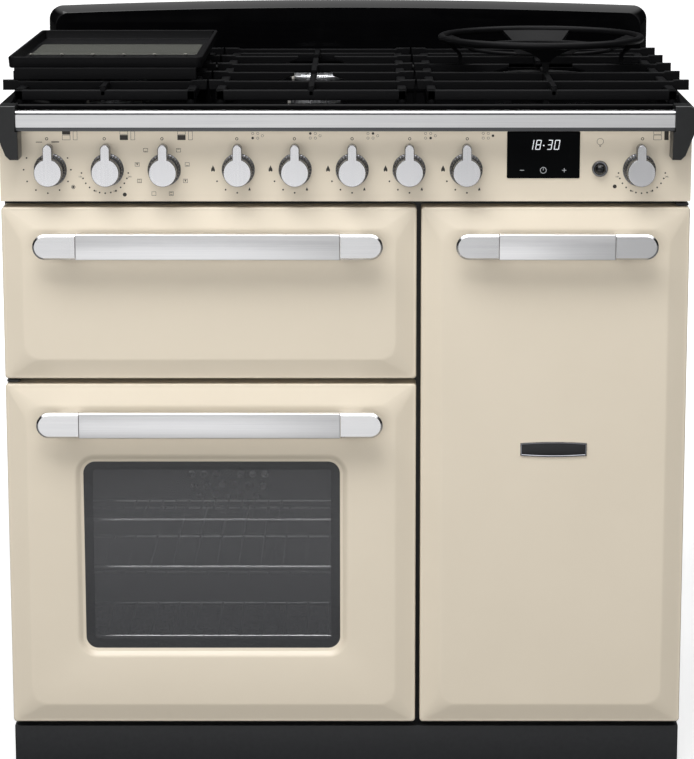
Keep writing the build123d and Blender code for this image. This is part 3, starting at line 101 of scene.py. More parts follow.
@dataclass
class Surface:
    """Points in millimetres and the faces that join them."""

    points: np.ndarray
    faces: list[list[int]]

    def volume(self) -> float:
        """Signed volume, positive where the faces point outwards.

        Returns:
            Volume in cubic millimetres.
        """
        total = 0.0
        for size in {len(face) for face in self.faces}:
            rows = np.array([face for face in self.faces if len(face) == size])
            first = self.points[rows[:, 0]]
            for step in range(1, size - 1):
                second, third = self.points[rows[:, step]], self.points[rows[:, step + 1]]
                total += float(np.einsum("ij,ij->", first, np.cross(second, third)))
        return total / 6.0

    def outward(self) -> "Surface":
        """The same surface with its faces turned outwards.

        Returns:
            This surface, or one with its faces reversed.
        """
        if self.volume() >= 0:
            return self
        return Surface(self.points, [face[::-1] for face in self.faces])

    def moved(self, x: float = 0.0, d: float = 0.0, z: float = 0.0) -> "Surface":
        """The surface shifted along the three axes."""
        return Surface(self.points + np.array([x, d, z]), self.faces)

    def mesh(self, name: str) -> bpy.types.Mesh:
        """Mesh in metres, in the frame of the construction model.

        Args:
            name: Name of the mesh.

        Returns:
            The new mesh.
        """
        mesh = bpy.data.meshes.new(name)
        mesh.from_pydata((self.points + np.array([0.0, DOOR_PLANE, 0.0])) * MM, [], self.faces)
        return mesh


def in_scene(name: str, data: bpy.types.ID) -> bpy.types.Object:
    """New object of the scene that shows some data.

    Args:
        name: Name of the object.
        data: What it shows.

    Returns:
        The new object.
    """
    piece = bpy.data.objects.new(name, data)
    bpy.context.scene.collection.objects.link(piece)
    return piece


def joined(parts: Sequence[Surface]) -> Surface:
    """Several surfaces as one.

    Args:
        parts: The surfaces to put together.

    Returns:
        One surface with all their points and faces.
    """
    faces: list[list[int]] = []
    start = 0
    for part in parts:
        faces += [[index + start for index in face] for face in part.faces]
        start += len(part.points)
    return Surface(np.concatenate([part.points for part in parts]), faces)


def grid(rows: np.ndarray, wrap: bool = True, caps: tuple[bool, bool] = (True, True)) -> Surface:
    """Surface through a grid of points: quad (i, j) joins rows i, i + 1 and columns j, j + 1.

    Args:
        rows: Points of shape (rows, columns, 3).
        wrap: Whether each row is a closed loop.
        caps: Whether the first and the last row are closed with a face.

    Returns:
        The surface.
    """
    count, width = rows.shape[:2]
    index = np.arange(count * width).reshape(count, width)
    across = np.concatenate([index, index[:, :1]], axis=1) if wrap else index
    quads = np.stack([across[:-1, :-1], across[:-1, 1:], across[1:, 1:], across[1:, :-1]], axis=-1)
    faces = quads.reshape(-1, 4).tolist()
    if caps[0]:
        faces.append(index[0, ::-1].tolist())
    if caps[1]:
        faces.append(index[-1].tolist())
    return Surface(rows.reshape(-1, 3), faces)


def rounded_rect(width: float, height: float, radius: float, steps: int = 9) -> np.ndarray:
    """Closed outline of four quarter circles joined by straight lines, centred on zero.

    Args:
        width: Size across.
        height: Size up.
        radius: Corner radius.
        steps: Points on each corner.

    Returns:
        Points of shape (4 * steps, 2), anticlockwise.
    """
    angle = np.linspace(0.0, math.pi / 2, steps)
    turns = np.arange(4)[:, None] * math.pi / 2 + angle[None, :]
    sign_x = np.array([1, -1, -1, 1])[:, None]
    sign_z = np.array([1, 1, -1, -1])[:, None]
    x = sign_x * (width / 2 - radius) + radius * np.cos(turns)
    z = sign_z * (height / 2 - radius) + radius * np.sin(turns)
    return np.stack([x, z], axis=-1).reshape(-1, 2)


def rect_outline(rect: Rect, radius: float, steps: int = 9) -> Outline:
    """Rounded rectangle that can be drawn in by an inset, its radius shrinking with it.

    Args:
        rect: Low and high first coordinate, then low and high second coordinate.
        radius: Corner radius at no inset.
        steps: Points on each corner.

    Returns:
        Function from an inset to the outline's points.
    """
    a0, a1, b0, b1 = rect
    middle = np.array([(a0 + a1) / 2, (b0 + b1) / 2])

    def draw(inset: float) -> np.ndarray:
        """Outline at an inset."""
        corner = max(radius - inset, LEAST_RADIUS)
        return rounded_rect(a1 - a0 - 2 * inset, b1 - b0 - 2 * inset, corner, steps) + middle

    return draw


def circle_outline(a: float, b: float, radius: float, steps: int = 48) -> Outline:
    """Circle that can be drawn in by an inset.

    Args:
        a: First coordinate of the centre.
        b: Second coordinate of the centre.
        radius: Radius at no inset.
        steps: Points on the circle.

    Returns:
        Function from an inset to the outline's points.
    """
    turn = np.arange(steps) * 2 * math.pi / steps
    ring = np.stack([np.cos(turn), np.sin(turn)], axis=-1)
    return lambda inset: ring * (radius - inset) + np.array([a, b])


def in_view(flat: np.ndarray, level: np.ndarray, view: View) -> np.ndarray:
    """Points of flat outlines at levels along the view's third direction.

    Args:
        flat: Outlines of shape (rows, columns, 2).
        level: One level for each row.
        view: The view that the outlines are drawn in.

    Returns:
        Points of shape (rows, columns, 3).
    """
    points = np.empty(flat.shape[:2] + (3,))
    first, second, third = view.value
    points[..., first] = flat[..., 0]
    points[..., second] = flat[..., 1]
    points[..., third] = level[:, None]
    return points


def carried(outline: Outline, rows: Sequence[Span], view: View) -> Surface:
    """Outline carried along a straight path: a row (inset, level) draws it in by inset at that level.

    Args:
        outline: Function from an inset to the outline's points.
        rows: Inset and level of each row.
        view: The view that the outline is drawn in.

    Returns:
        A closed surface.
    """
    flat = np.stack([outline(inset) for inset, _ in rows])
    level = np.array([row[1] for row in rows])
    return grid(in_view(flat, level, view)).outward()


def arc_rows(radius: float, level: float, way: int, steps: int = 4) -> list[Span]:
    """Rows of a quarter-round edge: inset r (1 - sin t), level r (1 - cos t) inside the end at angle t.

    Args:
        radius: Radius of the edge.
        level: Level of the flat end.
        way: 1 where the body lies at higher levels, -1 where it lies at lower ones.
        steps: Rows on the edge.

    Returns:
        Inset and level of each row, from the end face inwards.
    """
    turn = np.linspace(0.0, math.pi / 2, steps)
    return [(radius * (1 - math.sin(t)), level + way * radius * (1 - math.cos(t))) for t in turn]


def pillow(outline: Outline, low: float, high: float, radius: float, view: View, steps: int = 4) -> Surface:
    """Prism between two levels whose end edges are quarter rounds.

    Args:
        outline: Function from an inset to the outline's points.
        low: Lower level.
        high: Higher level.
        radius: Radius of the edges.
        view: The view that the outline is drawn in.
        steps: Rows on each edge.

    Returns:
        A closed surface.
    """
    inner = radius + END_LAND
    near = [(inner, low)] + arc_rows(radius, low, 1, steps)
    far = arc_rows(radius, high, -1, steps)[::-1] + [(inner, high)]
    return carried(outline, near + far, view)


def soft_box(x: Span, d: Span, z: Span, radius: float) -> Surface:
    """Box with all its edges rounded.

    Args:
        x: Low and high x.
        d: Front and back depth.
        z: Low and high z.
        radius: Radius of the edges.

    Returns:
        A closed surface.
    """
    return pillow(rect_outline((*d, *z), radius, steps=4), x[0], x[1], radius, View.SIDE)


def turned(profile: Sequence[Span], x: float, d: float, z: float, view: View, steps: int = 48) -> Surface:
    """Shape turned on a lathe: the point (radius, level) of the profile runs round a circle.

    Args:
        profile: Radius and level, the level counted from the centre along the view's third direction.
        x: Centre along x.
        d: Centre along the depth.
        z: Centre along z.
        view: FRONT for a shape that faces the front, PLAN for one that stands upright.
        steps: Points round the circle.

    Returns:
        A closed surface.
    """
    ring = circle_outline(0.0, 0.0, 1.0, steps)(0.0)
    radius = np.array([row[0] for row in profile])
    level = np.array([row[1] for row in profile])
    shape = grid(in_view(ring[None] * radius[:, None, None], level, view)).outward()
    return shape.moved(x, d, z)


def fluted(rows: Sequence[Triple], teeth: int, sharp: float, x: float, d: float, z: float,
           view: View) -> Surface:
    """Turned shape with a notched rim: radius r - c w(a), where w is a cosine that sharp squares off.

    Args:
        rows: Radius, level and cut of each row.
        teeth: Number of notches.
        sharp: Gain of the cosine before it is clipped to one.
        x: Centre along x.
        d: Centre along the depth.
        z: Centre along z.
        view: FRONT or PLAN.

    Returns:
        A closed surface.
    """
    turn = np.arange(teeth * FLUTE_STEPS) * 2 * math.pi / (teeth * FLUTE_STEPS)
    wave = np.clip(np.cos(turn * teeth) * sharp, -1, 1) * 0.5 + 0.5
    radius, level, cut = np.array(rows, float).T
    reach = radius[:, None] - cut[:, None] * wave[None]
    flat = np.stack([reach * np.cos(turn), reach * np.sin(turn)], axis=-1)
    return grid(in_view(flat, level, view)).outward().moved(x, d, z)


def ring_loop(profile: Sequence[Span], x: float, d: float, z: float, view: View, steps: int = 64) -> Surface:
    """Ring with a closed section: each (radius, level) of the section runs round a circle.

    Args:
        profile: Section points in order, joined back to the first.
        x: Centre along x.
        d: Centre along the depth.
        z: Centre along z.
        view: FRONT or PLAN.
        steps: Points round the circle.

    Returns:
        A closed surface.
    """
    section = np.array(list(profile) + [profile[0]], float)
    loop = circle_outline(0.0, 0.0, 1.0, steps)(0.0)
    rows = in_view(loop[None] * section[:, 0, None, None], section[:, 1], view)
    return grid(rows, caps=(False, False)).outward().moved(x, d, z)


def polygon_outline(corners: Sequence[Span]) -> Outline:
    """Polygon that can be drawn in: corner + inset (n1 + n2) / (1 + n1 n2), with its sides' normals n1, n2.

    Args:
        corners: Corners of the polygon in order.

    Returns:
        Function from an inset to the outline's points.
    """
    points = np.array(corners, float)
    after = np.roll(points, -1, axis=0)
    area = np.sum(points[:, 0] * after[:, 1] - after[:, 0] * points[:, 1])
    if area < 0:
        points = points[::-1]
        after = np.roll(points, -1, axis=0)
    along = after - points
    along /= np.linalg.norm(along, axis=1, keepdims=True)
    normal = np.stack([-along[:, 1], along[:, 0]], axis=-1)
    before = np.roll(normal, 1, axis=0)
    shift = (before + normal) / (1 + np.sum(before * normal, axis=1, keepdims=True))
    return lambda inset: points + inset * shift


def linear(red: float, green: float, blue: float) -> tuple[float, float, float, float]:
    """Scene colour of a screen colour given from 0 to 255, by the sRGB curve.

    Args:
        red: Red of the screen colour.
        green: Its green.
        blue: Its blue.

    Returns:
        Linear red, green and blue, and one for its alpha.
    """
    values = np.array([red, green, blue]) / 255.0
    low = values / 12.92
    high = ((values + 0.055) / 1.055) ** 2.4
    r, g, b = np.where(values <= 0.04045, low, high)
    return (float(r), float(g), float(b), 1.0)


class Ink:
    """Builder's tray for one finish's material nodes."""

    def __init__(self, name: str) -> None:
        """Start a material with an empty Principled shader.

        Args:
            name: Name of the material.
        """
        self.material = bpy.data.materials.new(name)
        self.material.use_nodes = True
        self.tree = self.material.node_tree
        self.shader = self.tree.nodes["Principled BSDF"]

    def add(self, kind: str, **settings: object) -> bpy.types.Node:
        """Add a node, setting sockets by their names with spaces written as underscores.

        Args:
            kind: Kind of the node.
            settings: Its properties and sockets.

        Returns:
            The new node.
        """
        node = self.tree.nodes.new("ShaderNode" + kind)
        for key, value in settings.items():
            if hasattr(node, key):
                setattr(node, key, value)
            else:
                node.inputs[key.replace("_", " ")].default_value = value
        return node

    def link(self, out: bpy.types.NodeSocket, into: bpy.types.NodeSocket) -> None:
        """Join two sockets."""
        self.tree.links.new(out, into)

    def set(self, **values: object) -> None:
        """Set the shader's own sockets."""
        for key, value in values.items():
            self.shader.inputs[key.replace("_", " ")].default_value = value

    def texture(self, kind: str, stretch: Triple | None = None, **settings: object) -> bpy.types.Node:
        """Add a texture on the object's own coordinates.

        Args:
            kind: Kind of the texture node.
            stretch: Scale along each axis, if the coordinates are stretched first.
            settings: The texture's own settings.

        Returns:
            The texture node.
        """
        node = self.add(kind, **settings)
        place = self.add("TexCoord").outputs["Object"]
        if stretch is not None:
            mapping = self.add("Mapping", Scale=stretch)
            self.link(place, mapping.inputs["Vector"])
            place = mapping.outputs["Vector"]
        self.link(place, node.inputs["Vector"])
        return node

    def ramp(self, factor: bpy.types.NodeSocket, low: Sequence[float], high: Sequence[float],
             stops: Span = (0.0, 1.0), into: Sequence[str] = ("Base Color",)) -> None:
        """Mix two screen colours by a factor.

        Args:
            factor: Output that drives the mix.
            low: Colour at the first stop.
            high: Colour at the second stop.
            stops: Where the two colours lie on the ramp.
            into: Sockets of the shader that take the colour.
        """
        node = self.add("ValToRGB")
        for element, stop, colour in zip(node.color_ramp.elements, stops, (low, high)):
            element.position = stop
            element.color = linear(*colour)
        self.link(factor, node.inputs["Fac"])
        for socket in into:
            self.link(node.outputs["Color"], self.shader.inputs[socket])

    def sheen(self, factor: bpy.types.NodeSocket, roughness: Span) -> None:
        """Let a factor run the roughness from its first to its second value.

        Args:
            factor: Output that drives it.
            roughness: The two values.
        """
        node = self.add("MapRange", To_Min=roughness[0], To_Max=roughness[1])
        self.link(factor, node.inputs["Value"])
        self.link(node.outputs["Result"], self.shader.inputs["Roughness"])

    def relief(self, height: bpy.types.NodeSocket, strength: float, depth: float) -> None:
        """Let a height bend the shader's normal.

        Args:
            height: Output with the height.
            strength: Share of the bend.
            depth: Height of the relief in metres.
        """
        node = self.add("Bump", Strength=strength, Distance=depth)
        self.link(height, node.inputs["Height"])
        self.link(node.outputs["Normal"], self.shader.inputs["Normal"])


@dataclass(frozen=True)
class Finish:
    """Solid finish whose colour, roughness and relief vary with a grain."""

    slot: str
    colour: Triple
    shade: Triple
    roughness: Span = (0.4, 0.5)
    metallic: float = 0.0
    ior: float = 1.45
    grain: Triple = (60.0, 60.0, 60.0)
    grain_detail: float = 3.0
    grain_roughness: float = 0.55
    stops: Span = (0.3, 0.7)
    bump: float = 0.05
    bump_depth: float = 0.0002

    def material(self) -> bpy.types.Material:
        """Material with a noise grain that mixes two shades and drives roughness and relief.

        Returns:
            The material.
        """
        ink = Ink(self.slot)
        ink.set(Metallic=self.metallic, IOR=self.ior)
        noise = ink.texture("TexNoise", self.grain, Scale=1.0, Detail=self.grain_detail,
                            Roughness=self.grain_roughness)
        grain = noise.outputs["Fac"]
        ink.ramp(grain, self.shade, self.colour, self.stops)
        ink.sheen(grain, self.roughness)
        ink.relief(grain, self.bump, self.bump_depth)
        return ink.material


@dataclass(frozen=True)
class Speckle:
    """Finish with scattered flecks: a Voronoi cell's distance picks the fleck or the ground."""

    slot: str
    ground: Triple
    fleck: Triple
    cells: float = 350.0
    size: float = 0.18
    roughness: Span = (0.25, 0.4)
    bump: float = 0.05
    ior: float = 1.45
    core: float = 0.6
    bump_depth: float = 0.0002

    def material(self) -> bpy.types.Material:
        """Material with flecks on a ground and a slight relief.

        Returns:
            The material.
        """
        ink = Ink(self.slot)
        ink.set(IOR=self.ior)
        reach = ink.texture("TexVoronoi", Scale=self.cells).outputs["Distance"]
        ink.ramp(reach, self.fleck, self.ground, (self.size * self.core, self.size))
        ink.sheen(reach, self.roughness)
        ink.relief(reach, self.bump, self.bump_depth)
        return ink.material


@dataclass(frozen=True)
class Spangle:
    """Zinc-coated sheet whose crystals each take their own shade."""

    slot: str
    light: Triple
    dark: Triple
    crystals: float = 70.0
    roughness: Span = (0.35, 0.5)
    metallic: float = 0.9

    def material(self) -> bpy.types.Material:
        """Material whose shade and roughness follow the crystals of a Voronoi pattern.

        Returns:
            The material.
        """
        ink = Ink(self.slot)
        ink.set(Metallic=self.metallic)
        cells = ink.texture("TexVoronoi", Scale=self.crystals)
        tone = ink.add("SeparateColor")
        ink.link(cells.outputs["Color"], tone.inputs["Color"])
        ink.ramp(tone.outputs["Red"], self.dark, self.light)
        ink.sheen(tone.outputs["Green"], self.roughness)
        return ink.material


@dataclass(frozen=True)
class Pane:
    """Tinted glass that lets light straight through, with a faint smear in its gloss."""

    slot: str
    tint: Triple
    cover: float
    roughness: Span = (0.01, 0.05)
    ior: float = 1.5
    smear: float = 0.94

    def material(self) -> bpy.types.Material:
        """Material whose cover is its share of dark tint, with a smear in its roughness.

        Returns:
            The material.
        """
        ink = Ink(self.slot)
        ink.set(IOR=self.ior, Alpha=self.cover)
        noise = ink.texture("TexNoise", Scale=6.0, Detail=4.0).outputs["Fac"]
        ink.sheen(noise, self.roughness)
        ink.ramp(noise, [value * self.smear for value in self.tint], self.tint)
        return ink.material


@dataclass(frozen=True)
class Glow:
    """Lit mark on a dark display."""

    slot: str
    colour: Triple
    strength: float = 0.9
    dim: float = 0.9

    def material(self) -> bpy.types.Material:
        """Material that glows, with a faint grain in its colour.

        Returns:
            The material.
        """
        ink = Ink(self.slot)
        ink.set(Emission_Strength=self.strength, Roughness=0.4)
        noise = ink.texture("TexNoise", Scale=900.0).outputs["Fac"]
        ink.ramp(noise, [value * self.dim for value in self.colour], self.colour,
                 into=("Emission Color", "Base Color"))
        return ink.material


class Workshop:
    """Makes the pieces, dresses them and lets them ride on the bodies of the construction model."""

    def __init__(self, frame: dict, finishes: Sequence[object]) -> None:
        """Build every finish once.

        Args:
            finishes: The finishes, each with a slot name and a material method.
        """
        self.nodes = frame["nodes"]
        self.palette = {finish.slot: finish.material() for finish in finishes}

    def make(self, name: str, shape: Surface, finish: str, body: str, replaces: Sequence[str] = (),
             crease: float = 35.0) -> bpy.types.Object:
        """Turn a surface into a piece that rides on a body.

        Args:
            name: Name of the piece.
            shape: The surface, in millimetres with depths for y.
            finish: Name of the finish in the palette.
            body: Body that the piece moves with.
            replaces: Nodes that the piece stands for.
            crease: Angle in degrees above which an edge stays sharp.

        Returns:
            The new object.
        """
        mesh = shape.mesh(name)
        mesh.validate()
        mesh.polygons.foreach_set("use_smooth", np.ones(len(mesh.polygons), bool))
        mesh.set_sharp_from_angle(angle=math.radians(crease))
        mesh.materials.append(self.palette[finish])
        piece = in_scene(name, mesh)
        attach(piece, body)
        if replaces:
            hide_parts(*replaces)
        LOG.info("%s: %d faces", name, len(mesh.polygons))
        return piece

    def dress(self, finish: str, *nodes: str) -> None:
        """Give construction nodes that stay in view their finish.

        Args:
            finish: Name of the finish.
            nodes: Names of the nodes.
        """
        for node in nodes:
            data = self.nodes[node].data
            data.materials.clear()
            data.materials.append(self.palette[finish])


@dataclass
class PressedDoor:
    """Enamelled door skin: a folded edge, a soft slope and a raised flat, with or without a window."""

    name: str
    body: str
    rect: Rect
    window: Rect | None = None
    notches: tuple[float, ...] = ()
    depth: float = 38.0
    sheet: float = 2.0
    rise: float = 9.0
    bevel: float = 27.0
    soft: float = 2.0
    edge: float = 2.4
    edge_r: float = 4.0
    flat_r: float = 22.0
    fold: float = 0.4
    window_r: float = 16.0
    window_bevel: float = 12.0
    window_sink: float = 7.0
    window_lip: float = 0.1
    notch_half: float = 3.0
    notch_front: float = 2.3
    notch_top: float = 11.0
    notch_over: float = 4.0
    corner_steps: int = 12
    slope_steps: int = 26

    def ring(self, rect: Rect, inset: float, d: float, radius: float) -> np.ndarray:
        """Rounded rectangle of a front-view rectangle drawn in by an inset, at a depth.

        Args:
            rect: The rectangle.
            inset: How far it is drawn in.
            d: The depth.
            radius: Corner radius.

        Returns:
            Points of shape (columns, 3).
        """
        x0, x1, z0, z1 = rect
        flat = rounded_rect(x1 - x0 - 2 * inset, z1 - z0 - 2 * inset, radius, self.corner_steps)
        x = flat[:, 0] + (x0 + x1) / 2
        z = flat[:, 1] + (z0 + z1) / 2
        return np.stack([x, np.full_like(x, d), z], axis=-1)

    def slope(self) -> list[Span]:
        """Inset and depth across the pressed border: a slope that eases in and out over the soft width.

        Returns:
            Inset and depth of each row.
        """
        inset = np.linspace(self.edge, self.bevel + self.soft, self.slope_steps)
        ease_in = np.clip((inset - self.edge) / self.soft, 0, 1)
        ease_out = np.clip((self.bevel + self.soft - inset) / (2 * self.soft), 0, 1)
        rate = np.minimum(ease_in, ease_out)
        height = np.concatenate([[0.0], np.cumsum((rate[1:] + rate[:-1]) / 2)])
        return list(zip(inset, -self.rise * height / height[-1]))

    def rows(self) -> np.ndarray:
        """Rings from the inner flat round the folded edge to the outer flat.

        Returns:
            Points of shape (rows, columns, 3).
        """
        sheet, edge, fold = self.sheet, self.edge, self.fold
        inner = [(self.bevel, sheet - self.rise), (sheet, sheet), (sheet, self.depth)]
        wall = [(fold, self.depth), (0.0, self.depth - fold), (0.0, edge + 1.0)]
        turns = np.linspace(0, math.pi / 2, 6)[:-1]
        bend = [(edge * (1 - math.cos(t)), edge * (1 - math.sin(t))) for t in turns]
        path = inner + wall + bend + self.slope()
        grow = (self.flat_r - self.edge_r) / self.bevel
        return np.stack([self.ring(self.rect, s, d, self.edge_r + grow * s) for s, d in path])

    def window_rows(self) -> np.ndarray:
        """Rings of the sunk window border, from the flat in to the glass and back under the skin.

        Returns:
            Points of shape (rows, columns, 3).
        """
        share = np.linspace(0.0, 1.0, 9)
        wide = self.window_bevel
        inset = wide * (share - 1.0)
        sink = self.window_sink * (3 * share ** 2 - 2 * share ** 3) - self.rise
        rings = [self.ring(self.window, s, d, self.window_r - s) for s, d in zip(inset, sink)]
        glass = self.window_sink - self.rise
        rings.append(self.ring(self.window, 0.0, glass - self.window_lip, self.window_r))
        rings.append(self.ring(self.window, -wide, sink[0] + self.sheet, self.window_r + wide))
        return np.stack(rings)

    def surface(self) -> Surface:
        """Closed sheet of the door skin.

        Returns:
            A closed surface.
        """
        rows = self.rows()
        if self.window is None:
            return grid(rows).outward()
        loop = np.concatenate([rows, self.window_rows(), rows[:1]])
        return grid(loop, caps=(False, False)).outward()

    def cut(self, piece: bpy.types.Object) -> None:
        """Cut the spaces for the fixed hinge lugs out of the lower edge.

        Args:
            piece: The door skin.
        """
        low = self.rect[2]
        depth = (self.notch_front, self.depth + self.sheet)
        height = (low - self.notch_over, low + self.notch_top)
        half = self.notch_half
        boxes = [soft_box((x - half, x + half), depth, height, 0.3) for x in self.notches]
        cutter = in_scene("cutter", joined(boxes).mesh("cutter"))
        step = piece.modifiers.new("notches", "BOOLEAN")
        step.object = cutter
        step.solver = "EXACT"
        bpy.context.view_layer.update()
        ready = piece.evaluated_get(bpy.context.evaluated_depsgraph_get())
        carved = bpy.data.meshes.new_from_object(ready)
        piece.modifiers.clear()
        piece.data = carved
        bpy.data.objects.remove(cutter)

    def build(self, shop: Workshop) -> None:
        """Make the skin.

        Args:
            shop: The workshop.
        """
        piece = shop.make(self.name, self.surface(), "cream_enamel", self.body, [f"{self.body}_skin"])
        if self.notches:
            self.cut(piece)


@dataclass
class BarHandle:
    """Flat bar handle: a brushed bar between two round-ended cheeks that stand on posts."""

    body: str
    x0: float
    x1: float
    z: float
    front: float = -45.0
    back: float = -33.0
    height: float = 33.0
    end: float = 55.0
    edge: float = 2.6
    back_edge: float = 0.6
    bar_edge: float = 0.9
    post: Span = (26.0, 20.0)
    post_edge: float = 1.5
    foot: float = -9.0
    seam: float = 0.25

    def cheek(self, tip: float, seam: float) -> Surface:
        """Half stadium whose front edge is cut to a narrow chamfer.

        Args:
            tip: End of the handle.
            seam: Where the cheek meets the bar.

        Returns:
            A closed surface.
        """
        way = 1.0 if tip > seam else -1.0
        half = self.height / 2

        def outline(inset: float) -> np.ndarray:
            """Half circle about the tip's centre and a straight run to the seam.

            Args:
                inset: How far the outline is drawn in.

            Returns:
                Points of the outline.
            """
            turn = np.linspace(-math.pi / 2, math.pi / 2, 25)
            r = half - inset
            x = (tip - way * half) + way * r * np.cos(turn)
            z = self.z + r * np.sin(turn)
            flat = np.stack([x, z], axis=-1)
            return np.concatenate([flat, [[seam, self.z + r], [seam, self.z - r]]])

        b, e = self.back_edge, self.edge
        rows = [(b, self.back), (0.0, self.back - b), (0.0, self.front + e), (e, self.front)]
        return carried(outline, rows, View.FRONT)

    def build(self, shop: Workshop) -> None:
        """Make the bar, the cheeks and the posts.

        Args:
            shop: The workshop.
        """
        half = self.height / 2
        left, right = self.x0 + self.end, self.x1 - self.end
        across = (left + self.seam, right - self.seam)
        bar = soft_box(across, (self.front, self.back), (self.z - half, self.z + half), self.bar_edge)
        shop.make(f"{self.body}_handle_bar", bar, "brushed_steel", self.body, [f"{self.body}_handle"])
        length, height = self.post
        cheeks = [self.cheek(self.x0, left - self.seam), self.cheek(self.x1, right + self.seam)]
        for low in (left - length, right):
            cheeks.append(soft_box((low, low + length), (self.back - 1.0, self.foot),
                                   (self.z - height / 2, self.z + height / 2), self.post_edge))
        shop.make(f"{self.body}_handle_ends", joined(cheeks), "satin_steel", self.body,
                  crease=28.0)


@dataclass
class ControlKnob:
    """Round knob with a flat face and a lever grip, in front of a chrome bezel."""

    name: str
    x: float
    z: float = KNOB_Z
    radius: float = 17.9
    lever: float = 36.0
    lever_w: float = 12.2
    front: float = -36.0
    lever_back: float = -16.0
    back: float = -6.5
    edge: float = 0.9
    rim: float = 0.7
    face: float = 1.4
    face_edge: float = 0.3

    def outline(self, inset: float) -> np.ndarray:
        """Keyhole: a circle with a round-topped lever rising from it.

        Args:
            inset: How far the outline is drawn in.

        Returns:
            Points of the outline.
        """
        half = self.lever_w / 2 - inset
        r = self.radius - inset
        lift = self.lever - self.lever_w / 2
        meet = math.asin(half / r)
        neck = np.linspace(math.pi / 2 + meet, 5 * math.pi / 2 - meet, 41)
        top = np.linspace(0.0, math.pi, 15)
        disc = np.stack([r * np.cos(neck), r * np.sin(neck)], axis=-1)
        cap = np.stack([half * np.cos(top), lift + half * np.sin(top)], axis=-1)
        return np.concatenate([disc, cap]) + np.array([self.x, self.z])

    def build(self, shop: Workshop) -> None:
        """Make the grip and the drum behind it in a darker steel, which paints the shade and dark reflection
        round the knob's edge, and the bright plate let into its face.

        Args:
            shop: The workshop.
        """
        r = self.radius
        grip = pillow(self.outline, self.front + self.face, self.lever_back, self.edge, View.FRONT)
        drum = turned([(r - 0.4, self.lever_back - 1.0), (r - 0.4, self.back - 2.0), (r - 1.2, self.back)],
                      self.x, 0.0, self.z, View.FRONT)
        # The grip's darker steel round the bright face is painted shade and painted dark reflection at the
        # knob's edge.
        shop.make(f"{self.name}_grip", joined([grip, drum]), "knob_edge_painted_shade", self.name, [self.name])
        plate = pillow(lambda inset: self.outline(self.rim + inset), self.front,
                       self.front + 2 * self.face, self.face_edge, View.FRONT, 3)
        shop.make(f"{self.name}_face", plate, "knob_steel", self.name)


@dataclass
class Fascia:
    """Chrome bezels, light button and clock on the control panel."""

    bezel_r: float = 21.4
    bezel_bore: float = 4.6
    flutes: int = 30
    clock: Rect = (208.0, 302.0, 809.5, 870.5)
    clock_r: float = 1.8
    clock_front: float = -1.5
    case_inset: float = 6.3
    case_depth: float = 30.0
    button: Span = (LIGHT_X, 822.0)
    button_bore: float = 7.3

    def bezel(self, x: float) -> Surface:
        """Fluted ring: a plain foot and a cone whose flutes break up what it mirrors.

        Args:
            x: Place of the knob.

        Returns:
            A closed surface.
        """
        r, bore = self.bezel_r, self.bezel_bore
        foot = [(bore, 0.0, 0.0), (r, 0.0, 0.0), (r, -1.0, 0.0), (r - 0.5, -1.8, 0.0)]
        cone = [(r - 0.7, -2.0, 0.9), (r - 2.6, -5.4, 0.9), (r - 3.2, -6.0, 0.0), (bore, -6.0, 0.0)]
        return fluted(foot + cone, self.flutes, 1.0, x, 0.0, KNOB_Z, View.FRONT)

    def button_ring(self) -> Surface:
        """Ring round the light button.

        Returns:
            A closed surface.
        """
        x, z = self.button
        bore = self.button_bore
        wall = [(bore, 0.0), (10.4, 0.0), (10.4, -3.5)]
        lip = [(10.0, -4.8), (9.2, -5.8), (8.4, -6.0), (bore, -5.6)]
        return ring_loop(wall + lip, x, 0.0, z, View.FRONT, 48)

    def build(self, shop: Workshop, knob_x: Sequence[float]) -> None:
        """Make the bezels, the button and the clock.

        Args:
            shop: The workshop.
            knob_x: Place of each knob along the panel.
        """
        rings = [self.bezel(x) for x in knob_x] + [self.button_ring()]
        shop.make("knob_bezels", joined(rings), "bezel_chrome", FLOOR_BODY, ["control_bezels"])
        x, z = self.button
        stem = [(7.0, 12.0), (7.0, -6.0)]
        dome = [(6.8, -7.8), (6.1, -9.8), (4.9, -11.4), (3.2, -12.5), (1.2, -12.95)]
        shop.make("light_button_dome", turned(stem + dome, x, 0.0, z, View.FRONT), "gloss_black",
                  "light_button", ["light_button"])
        glass = pillow(rect_outline(self.clock, self.clock_r, 5), self.clock_front, 0.0, 0.5, View.FRONT)
        x0, x1, z0, z1 = self.clock
        c = self.case_inset
        case = soft_box((x0 + c, x1 - c), (0.0, self.case_depth), (z0 + c, z1 - c), 0.5)
        shop.make("clock_glass", glass, "display_glass", FLOOR_BODY, ["clock_display"])
        shop.make("clock_case", case, "black_plastic", FLOOR_BODY)


